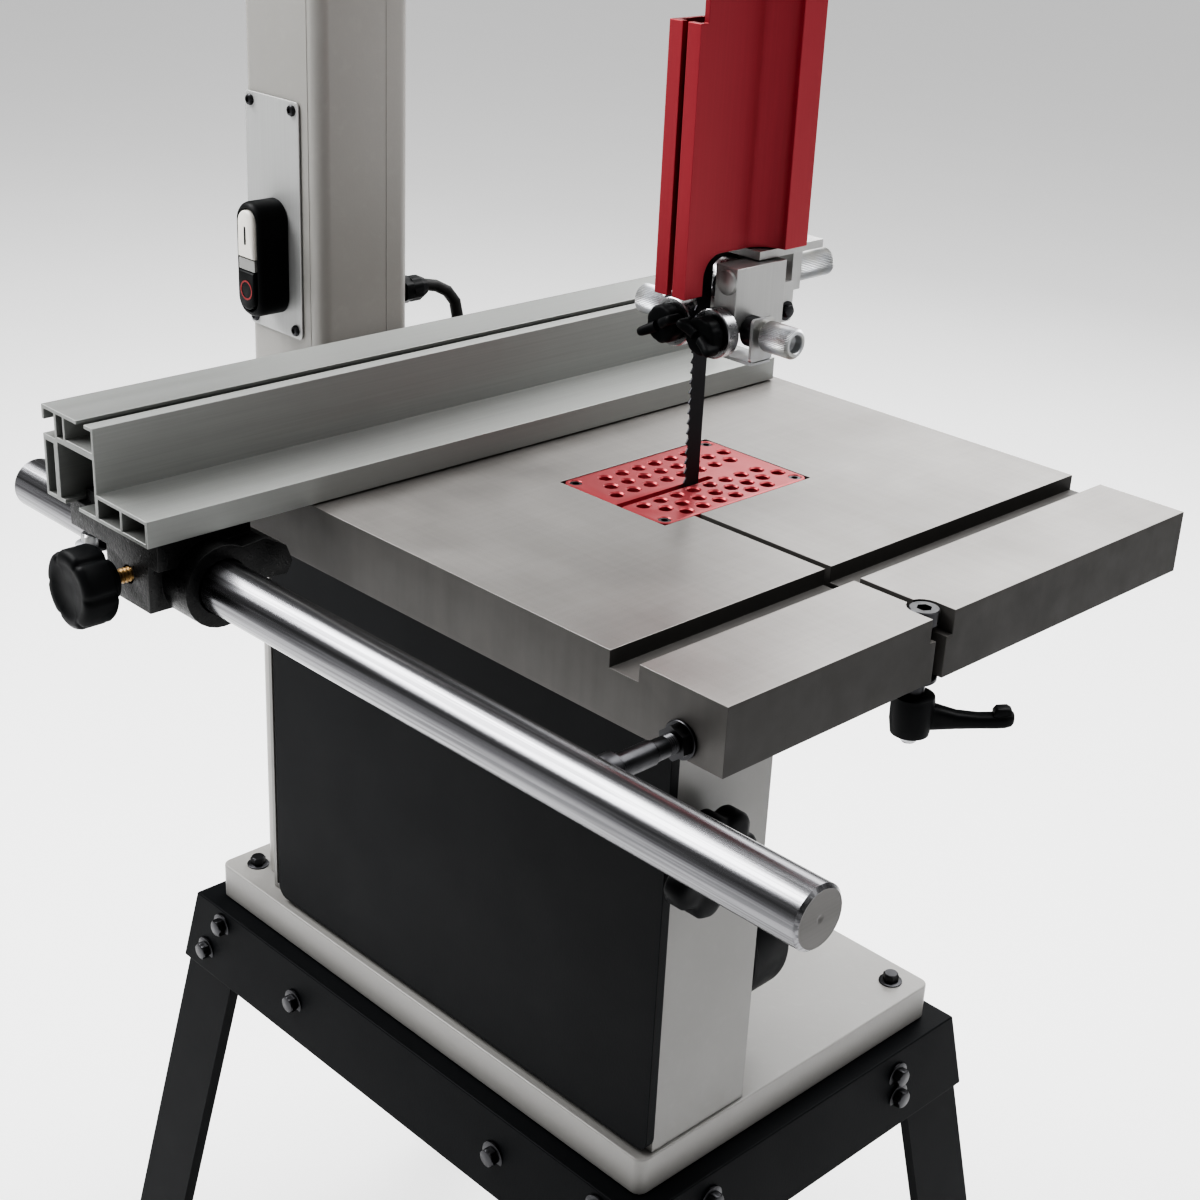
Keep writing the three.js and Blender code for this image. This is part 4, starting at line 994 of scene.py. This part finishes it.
def thrust_guide():
    low, high = extent("thrust_bearing")
    _, y, z = middle("thrust_bearing")
    radius, half = (high.z - low.z) / 2, 5.0
    section = [(4.2, -half), (6.4, -half), (6.6, -half + 0.5), (radius - 3, -half + 0.5),
        (radius - 2.8, -half), (radius - 0.6, -half), (radius, -half + 0.6)]
    section += [(r, -along) for r, along in reversed(section)]
    bearing = bmesh.new()
    tube_lathe(bearing, "x", (0, y, z), section, 64)
    stand_in("thrust_bearing", "thrust_roller_ring", bearing, 30, look=BRIGHT_STEEL)
    axle = bmesh.new()
    lathe(axle, "x", (0, y, z), [(4.0, -8.0), (4.0, 8.0)], 32)
    loose("thrust_axle", axle, "guide", "black_oxide")
    knob = bmesh.new()
    lathe(knob, "y", (0, 0, z), [(4.0, 37.0), (4.0, 74.0)], 32)
    knurled_knob(knob, "y", (0, 0, z), 8.6, 73.0, 106.0)
    stand_in("thrust_knob", "thrust_knob_turned", knob, 40)


thrust_guide()

# ---- switch, lead and the parts behind ----


SWITCH_LOW, SWITCH_HIGH = extent("switch_box")
SWITCH_HALF = (SWITCH_HIGH.x - SWITCH_LOW.x) / 2
CAP_HALF = SWITCH_HALF - 5.6


def switch_ring(inset, y, easing):
    """The housing's outline at a depth, drawn in by the inset."""
    low, high = SWITCH_LOW, SWITCH_HIGH
    outline = round_rect(low.x + inset, high.x - inset, low.z + inset, high.z - inset,
        SWITCH_HALF - inset - easing, 10)
    return [at(u, y, v) for u, v in outline]


def switch_housing():
    """An open moulding with a rounded rim, and a well that holds the two caps."""
    back, front = SWITCH_HIGH.y, SWITCH_LOW.y
    bm = bmesh.new()
    outside = ((0.0, back), (0.0, back - 4), (0.0, front + 5.0), (0.7, front + 2.4), (2.2, front + 0.6),
        (3.6, front))
    loops = ringed(bm, [switch_ring(inset, y, 0.6) for inset, y in outside], closed_ends=False)
    well = [[bm.verts.new(point) for point in switch_ring(4.6, front + depth, 0.4)] for depth in (0.6, 12.0)]
    skin(bm, loops[-1], well[0])
    skin(bm, *well)
    bm.faces.new(well[1])
    bm.faces.new(list(reversed(loops[0])))
    stand_in("switch_box", "switch_housing", bm, 40)


def cap(name, node, low_z, high_z, top_round, bottom_round):
    """A button's cap with an eased face, and a corner radius of its own at the top and at the bottom."""
    x, front = middle("switch_box").x, SWITCH_LOW.y
    right, left = x + CAP_HALF, x - CAP_HALF
    corners = (
        (right - top_round, high_z - top_round, top_round),
        (left + top_round, high_z - top_round, top_round),
        (left + bottom_round, low_z + bottom_round, bottom_round),
        (right - bottom_round, low_z + bottom_round, bottom_round),
    )
    rings = []
    for inset, depth in ((0.0, 6.0), (0.0, -0.4), (0.5, -1.3), (1.5, -1.9)):
        ring = []
        for quarter, (cx, cz, radius) in enumerate(corners):
            r = max(radius - inset, 0.2)
            for i in range(9):
                a = radians(90 * quarter + 90 * i / 8)
                ring.append(at(cx + r * cos(a), front + depth, cz + r * sin(a)))
        rings.append(ring)
    bm = bmesh.new()
    ringed(bm, rings)
    stand_in(node, name, bm, 40)


def switch_station():
    dressed("switch_plate", 0.7, look=PLATE_METAL)
    switch_housing()
    x, _, z = middle("switch_box")
    front, mid = SWITCH_LOW.y, z - 3.0
    top, bottom = SWITCH_HIGH.z - 5.6, SWITCH_LOW.z + 5.6
    cap("start_cap", "start_button", mid + 4.6, top, CAP_HALF - 0.3, 1.2)
    cap("stop_cap", "stop_button", bottom, mid - 4.6, 1.2, CAP_HALF - 0.3)
    lens, bar, ring = bmesh.new(), bmesh.new(), bmesh.new()
    tile(lens, x - CAP_HALF, x + CAP_HALF, mid - 4.0, mid + 4.0, 0.8, 3, front - 0.9, front + 5)
    loose("switch_lens", lens, "frame", "white_plastic", look=LENS_GREY)
    bar_z = (mid + top) / 2
    tile(bar, x - 0.9, x + 0.9, bar_z - 5.0, bar_z + 8.0, 0.8, 4, front - 2.1, front - 1.5)
    loose("start_mark", bar, "start_button", "black_plastic")
    tube_lathe(ring, "y", (x, front, (mid + bottom) / 2 - 2), [(5.8, -1.5), (5.8, -2.1), (7.0, -2.1),
        (7.0, -1.5)], 40)
    loose("stop_mark", ring, "stop_button", "black_plastic", look=STOP_RED)
    low, high = extent("switch_plate")
    screws = bmesh.new()
    for sx in (low.x + 7, high.x - 7):
        for sz in (low.z + 6, high.z - 6):
            lathe(screws, "y", (sx, low.y, sz), [(3.9, 0.3), (4.0, -0.9), (3.2, -2.2), (1.8, -2.6),
                (1.6, -1.6)], 32)
    loose("switch_plate_screws", screws, "frame", "black_oxide")


switch_station()


def lead_and_gland():
    dressed("motor_lead", angle=80)
    x, _, z = middle("cable_gland")
    wall = extent("cable_gland")[0].y
    gland = bmesh.new()
    hex_bolt(gland, "y", (x, wall, z), 18.0, 8.0, turn=3)
    lathe(gland, "y", (x, wall, z), [(9.6, 7.0), (9.6, 15.0), (8.9, 16.4), (7.4, 19.8), (6.3, 22.0),
        (5.2, 22.2)], 48, wobble=lobes(12, 0.7, 4.0))
    stand_in("cable_gland", "gland_moulding", gland, 45)


lead_and_gland()


def motor():
    """A finned shell with ringed vents in its rear cowl, and a terminal box on top."""
    low, high = extent("motor")
    x, z, radius, start, end = -290.0, -380.0, 76.0, low.y, high.y - low.y
    body = [(20, 0), (58, 0), (66, 1.5), (70, 5), (71, 14), (radius, 15)]
    body += [(radius, 15 + (end - 61) * k / 8) for k in range(1, 9)]
    body += [(72.5, end - 44), (73.5, end - 42), (73.5, end - 9), (71, end - 4), (64, end - 0.6), (56, end)]
    for r in (52, 43, 34, 25, 16):
        body += [(r, end), (r - 0.6, end - 2.4), (r - 4.0, end - 2.4), (r - 4.6, end)]
    shell, terminal, caps = bmesh.new(), bmesh.new(), bmesh.new()
    lathe(shell, "y", (x, start, z), body, 288, wobble=ribs(36, 5.0, 75.4, power=0.6))
    stand_in("motor", "motor_shell", shell, 35)
    prism(terminal, "z", round_rect(x - 45, x + 45, start + 40, start + 125, 7, 5), z + 58, z + 106)
    lid = round_rect(x - 46.5, x + 46.5, start + 38.5, start + 126.5, 8, 5)
    prism(terminal, "z", lid, z + 106.6, z + 112)
    bevel(fixed(terminal), 1.5, 40, 2)
    loose("terminal_box", terminal, "frame", "motor_paint")
    for sx in (x - 38, x + 38):
        for sy in (start + 47, start + 118):
            lathe(caps, "z", (sx, sy, z + 112), [(3.6, -0.3), (3.7, 1.2), (2.8, 2.3), (1.4, 2.5),
                (1.2, 1.6)], 24)
    for k, (bolt_x, bolt_z) in enumerate(four_round(x, z, 62)):
        hex_bolt(caps, "y", (bolt_x, start + 1.5, bolt_z), 8.0, 4.0, -1, turn=k * 9)
    loose("motor_screws", caps, "frame", "black_oxide")


motor()


def dust_port():
    low, high = extent("dust_port")
    x, _, z = middle("dust_port")
    r, end = 50.0, high.y - low.y
    spout, screws = bmesh.new(), bmesh.new()
    tube_lathe(spout, "y", (x, low.y, z), [(r - 4, 0), (r + 8, 0), (r + 8, 3.6), (r + 7, 4.6),
        (r + 1.6, 4.8), (r, 7), (r, 20), (r + 0.9, 21), (r + 0.9, 24), (r, 25), (r - 0.6, end - 3),
        (r - 1.2, end - 0.6), (r - 2.2, end), (r - 3.4, end), (r - 4, end - 1)], 96)
    stand_in("dust_port", "dust_spout", spout, 35)
    for screw_x, screw_z in four_round(x, z, 54.4):
        lathe(screws, "y", (screw_x, low.y + 4.5, screw_z), [(2.6, -0.3), (2.8, 0.8), (2.0, 1.8),
            (0.9, 2.0), (0.8, 1.2)], 20)
    loose("dust_spout_screws", screws, "frame", "zinc_plate")


dust_port()


def tension_knob():
    low, high = extent("tension_knob")
    x, y, _ = middle("tension_knob")
    radius = (high.x - low.x) / 2
    bm = bmesh.new()
    lathe(bm, "z", (x, y, high.z), [(6.0, low.z - high.z), (6.0, -33)], 32)
    lathe(bm, "z", (x, y, high.z), [(15, -33), (17, -32), (17, -28), (22, -27.4), (radius - 3, -27),
        (radius - 0.6, -25), (radius, -22), (radius, -5), (radius - 1.4, -2.2), (radius - 5, -0.6), (20, 0),
        (16, -1.4), (3, -1.6)], 144, wobble=lobes(6, 7.5, 20.0))
    stand_in("tension_knob", "tension_knob_moulding", bm, 50)


def tracking_knob():
    low, high = extent("tracking_knob")
    x, _, z = middle("tracking_knob")
    bm = bmesh.new()
    lathe(bm, "y", (x, high.y, z), [(6.0, low.y - high.y), (6.0, -19)], 32)
    lathe(bm, "y", (x, high.y, z), [(14, -19), (22, -18.4), (24, -16.4), (24, -3.4), (22.6, -1), (19, 0),
        (13, 0), (11, -1.2), (2, -1.3)], 144, wobble=ribs(24, 0.9, 21.0))
    stand_in("tracking_knob", "tracking_knob_moulding", bm, 50)


def post_handwheel():
    """A rim on three spokes with a turned grip; its shaft drives the guide post."""
    low, high = extent("post_handwheel")
    hub_y, hub_z, grip_y, wall = 45, 440, 75, high.x - 40.0
    bm = bmesh.new()
    lathe(bm, "x", (wall, hub_y, hub_z), [(7.0, low.x - wall), (7.0, 0), (12.0, 0), (13.0, 1.5), (13.0, 9),
        (11.0, 12.5), (3.0, 13)], 48)
    tube_lathe(bm, "x", (wall, hub_y, hub_z), [(37, 2), (38, 1), (43, 1), (44.6, 2.4), (45, 5), (44.6, 10),
        (43, 12), (38, 12), (36.6, 10)], 96)
    for k in range(3):
        a = 2 * pi * k / 3 + pi / 2
        rings = []
        for r, half, near, far in ((8, 7.0, 2.5, 9), (22, 5.2, 3.5, 8), (39, 6.2, 3.0, 9)):
            ring = []
            for u, v in round_rect(-half, half, wall + near, wall + far, 1.8, 3):
                y = hub_y + r * cos(a) - u * sin(a)
                ring.append(at(v, y, hub_z + r * sin(a) + u * cos(a)))
            rings.append(ring)
        ringed(bm, rings)
    lathe(bm, "x", (wall, grip_y, hub_z), [(3.2, 8), (3.2, 14), (5.2, 14), (7.4, 17), (7.8, 24), (7.0, 33),
        (6.6, 36), (5.2, 39), (2.0, 40)], 48)
    stand_in("post_handwheel", "handwheel_moulding", bm, 45)


tension_knob()
tracking_knob()
post_handwheel()


TYRE_WEAR = 0.997


def inner_works():
    tyre = dressed("upper_tyre", 0.8, segments=3)
    # A worn crown, half a millimetre down, keeps it clear of the housing floor at the lowest travel.
    centre = sum(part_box("upper_tyre"), Vector()) / 2
    for vertex in tyre.data.vertices:
        vertex.co.x = centre.x + (vertex.co.x - centre.x) * TYRE_WEAR
        vertex.co.z = centre.z + (vertex.co.z - centre.z) * TYRE_WEAR
    for node, width in (("lower_wheel", 1.2), ("upper_wheel", 1.2), ("lower_tyre", 0.8),
            ("lower_axle", 0.8), ("upper_axle", 0.8), ("lower_pulley", 0.6), ("motor_pulley", 0.6),
            ("drive_belt", 0.6), ("wheel_carriage", 2.0), ("tension_spring", 0.6), ("table_trunnion", 2.0),
            ("trunnion_saddle", 2.0)):
        dressed(node, width, segments=3)


def tilt_lock_knob():
    low, high = extent("tilt_lock_knob")
    _, y, z = middle("tilt_lock_knob")
    radius = (high.z - low.z) / 2
    bm = bmesh.new()
    lathe(bm, "x", (low.x, y, z), [(5, high.x - low.x), (5, 16.5)], 32)
    lathe(bm, "x", (low.x, y, z), [(9, 17), (radius - 2, 16.6), (radius - 0.2, 15), (radius, 12),
        (radius, 4), (radius - 1.4, 1.2), (radius - 4, 0), (2, 0)], 100, wobble=lobes(5, 3.6, 5.0))
    stand_in("tilt_lock_knob", "tilt_lock_moulding", bm, 50)


inner_works()
tilt_lock_knob()

# ---- floor and light ----


FLOOR_HALF = 40.0


def floor():
    bm = bmesh.new()
    half = FLOOR_HALF
    corners = [bm.verts.new((x, y, -0.0005)) for x, y in ((-half, -half), (half, -half), (half, half),
        (-half, half))]
    bm.faces.new(corners)
    pale = Finish("studio_floor", (0.86, 0.86, 0.86), 0.62)
    pale.set("Emission Color", (1.0, 1.0, 1.0, 1.0))
    pale.set("Emission Strength", 0.2)
    pale.gloss(pale.noise(3.0, 3.0), 0.58, 0.68)
    made("floor", bm, pale.material)


LIT_POINT = (0.05, -0.05, 0.95)


def soft_light(name, place, size, watts):
    data = bpy.data.lights.new(name, "AREA")
    data.shape = "RECTANGLE"
    data.size, data.size_y = size
    data.energy = watts
    light = bpy.data.objects.new(name, data)
    bpy.context.scene.collection.objects.link(light)
    light.location = place
    light.rotation_euler = (Vector(LIT_POINT) - Vector(place)).to_track_quat("-Z", "Y").to_euler()


def studio():
    """Soft boxes in a dim room, so that the metal has something dark to mirror."""
    world = bpy.data.worlds.new("studio")
    world.use_nodes = True
    tree = world.node_tree
    back = tree.nodes["Background"]
    coords = tree.nodes.new("ShaderNodeTexCoord")
    split = tree.nodes.new("ShaderNodeSeparateXYZ")
    ramp = tree.nodes.new("ShaderNodeValToRGB")
    stops = ramp.color_ramp.elements
    stops[0].position, stops[0].color = 0.0, (1.0, 1.0, 1.0, 1.0)
    stops[1].position, stops[1].color = 0.95, (1.0, 1.0, 1.0, 1.0)
    for position, grey in ((0.53, 1.0), (0.6, 0.3), (0.7, 0.3)):
        stops.new(position).color = (grey, grey, grey, 1.0)
    scale = add_node(tree, "ShaderNodeMapRange", From_Min=-1.0)
    tree.links.new(coords.outputs["Generated"], split.inputs["Vector"])
    tree.links.new(split.outputs["Z"], scale.inputs["Value"])
    tree.links.new(scale.outputs["Result"], ramp.inputs["Fac"])
    tree.links.new(ramp.outputs["Color"], back.inputs["Color"])
    back.inputs["Strength"].default_value = 0.55
    bpy.context.scene.world = world
    soft_light("key", (-1.9, -1.2, 3.3), (2.6, 1.8), 150)
    soft_light("top", (0.25, 1.3, 3.6), (2.8, 2.8), 125)
    soft_light("right", (2.6, 0.6, 3.2), (1.4, 2.0), 7)
    soft_light("back", (-1.0, 3.0, 2.4), (2.6, 1.6), 40)


floor()
studio()
bpy.context.scene.view_settings.look = "AgX - High Contrast"
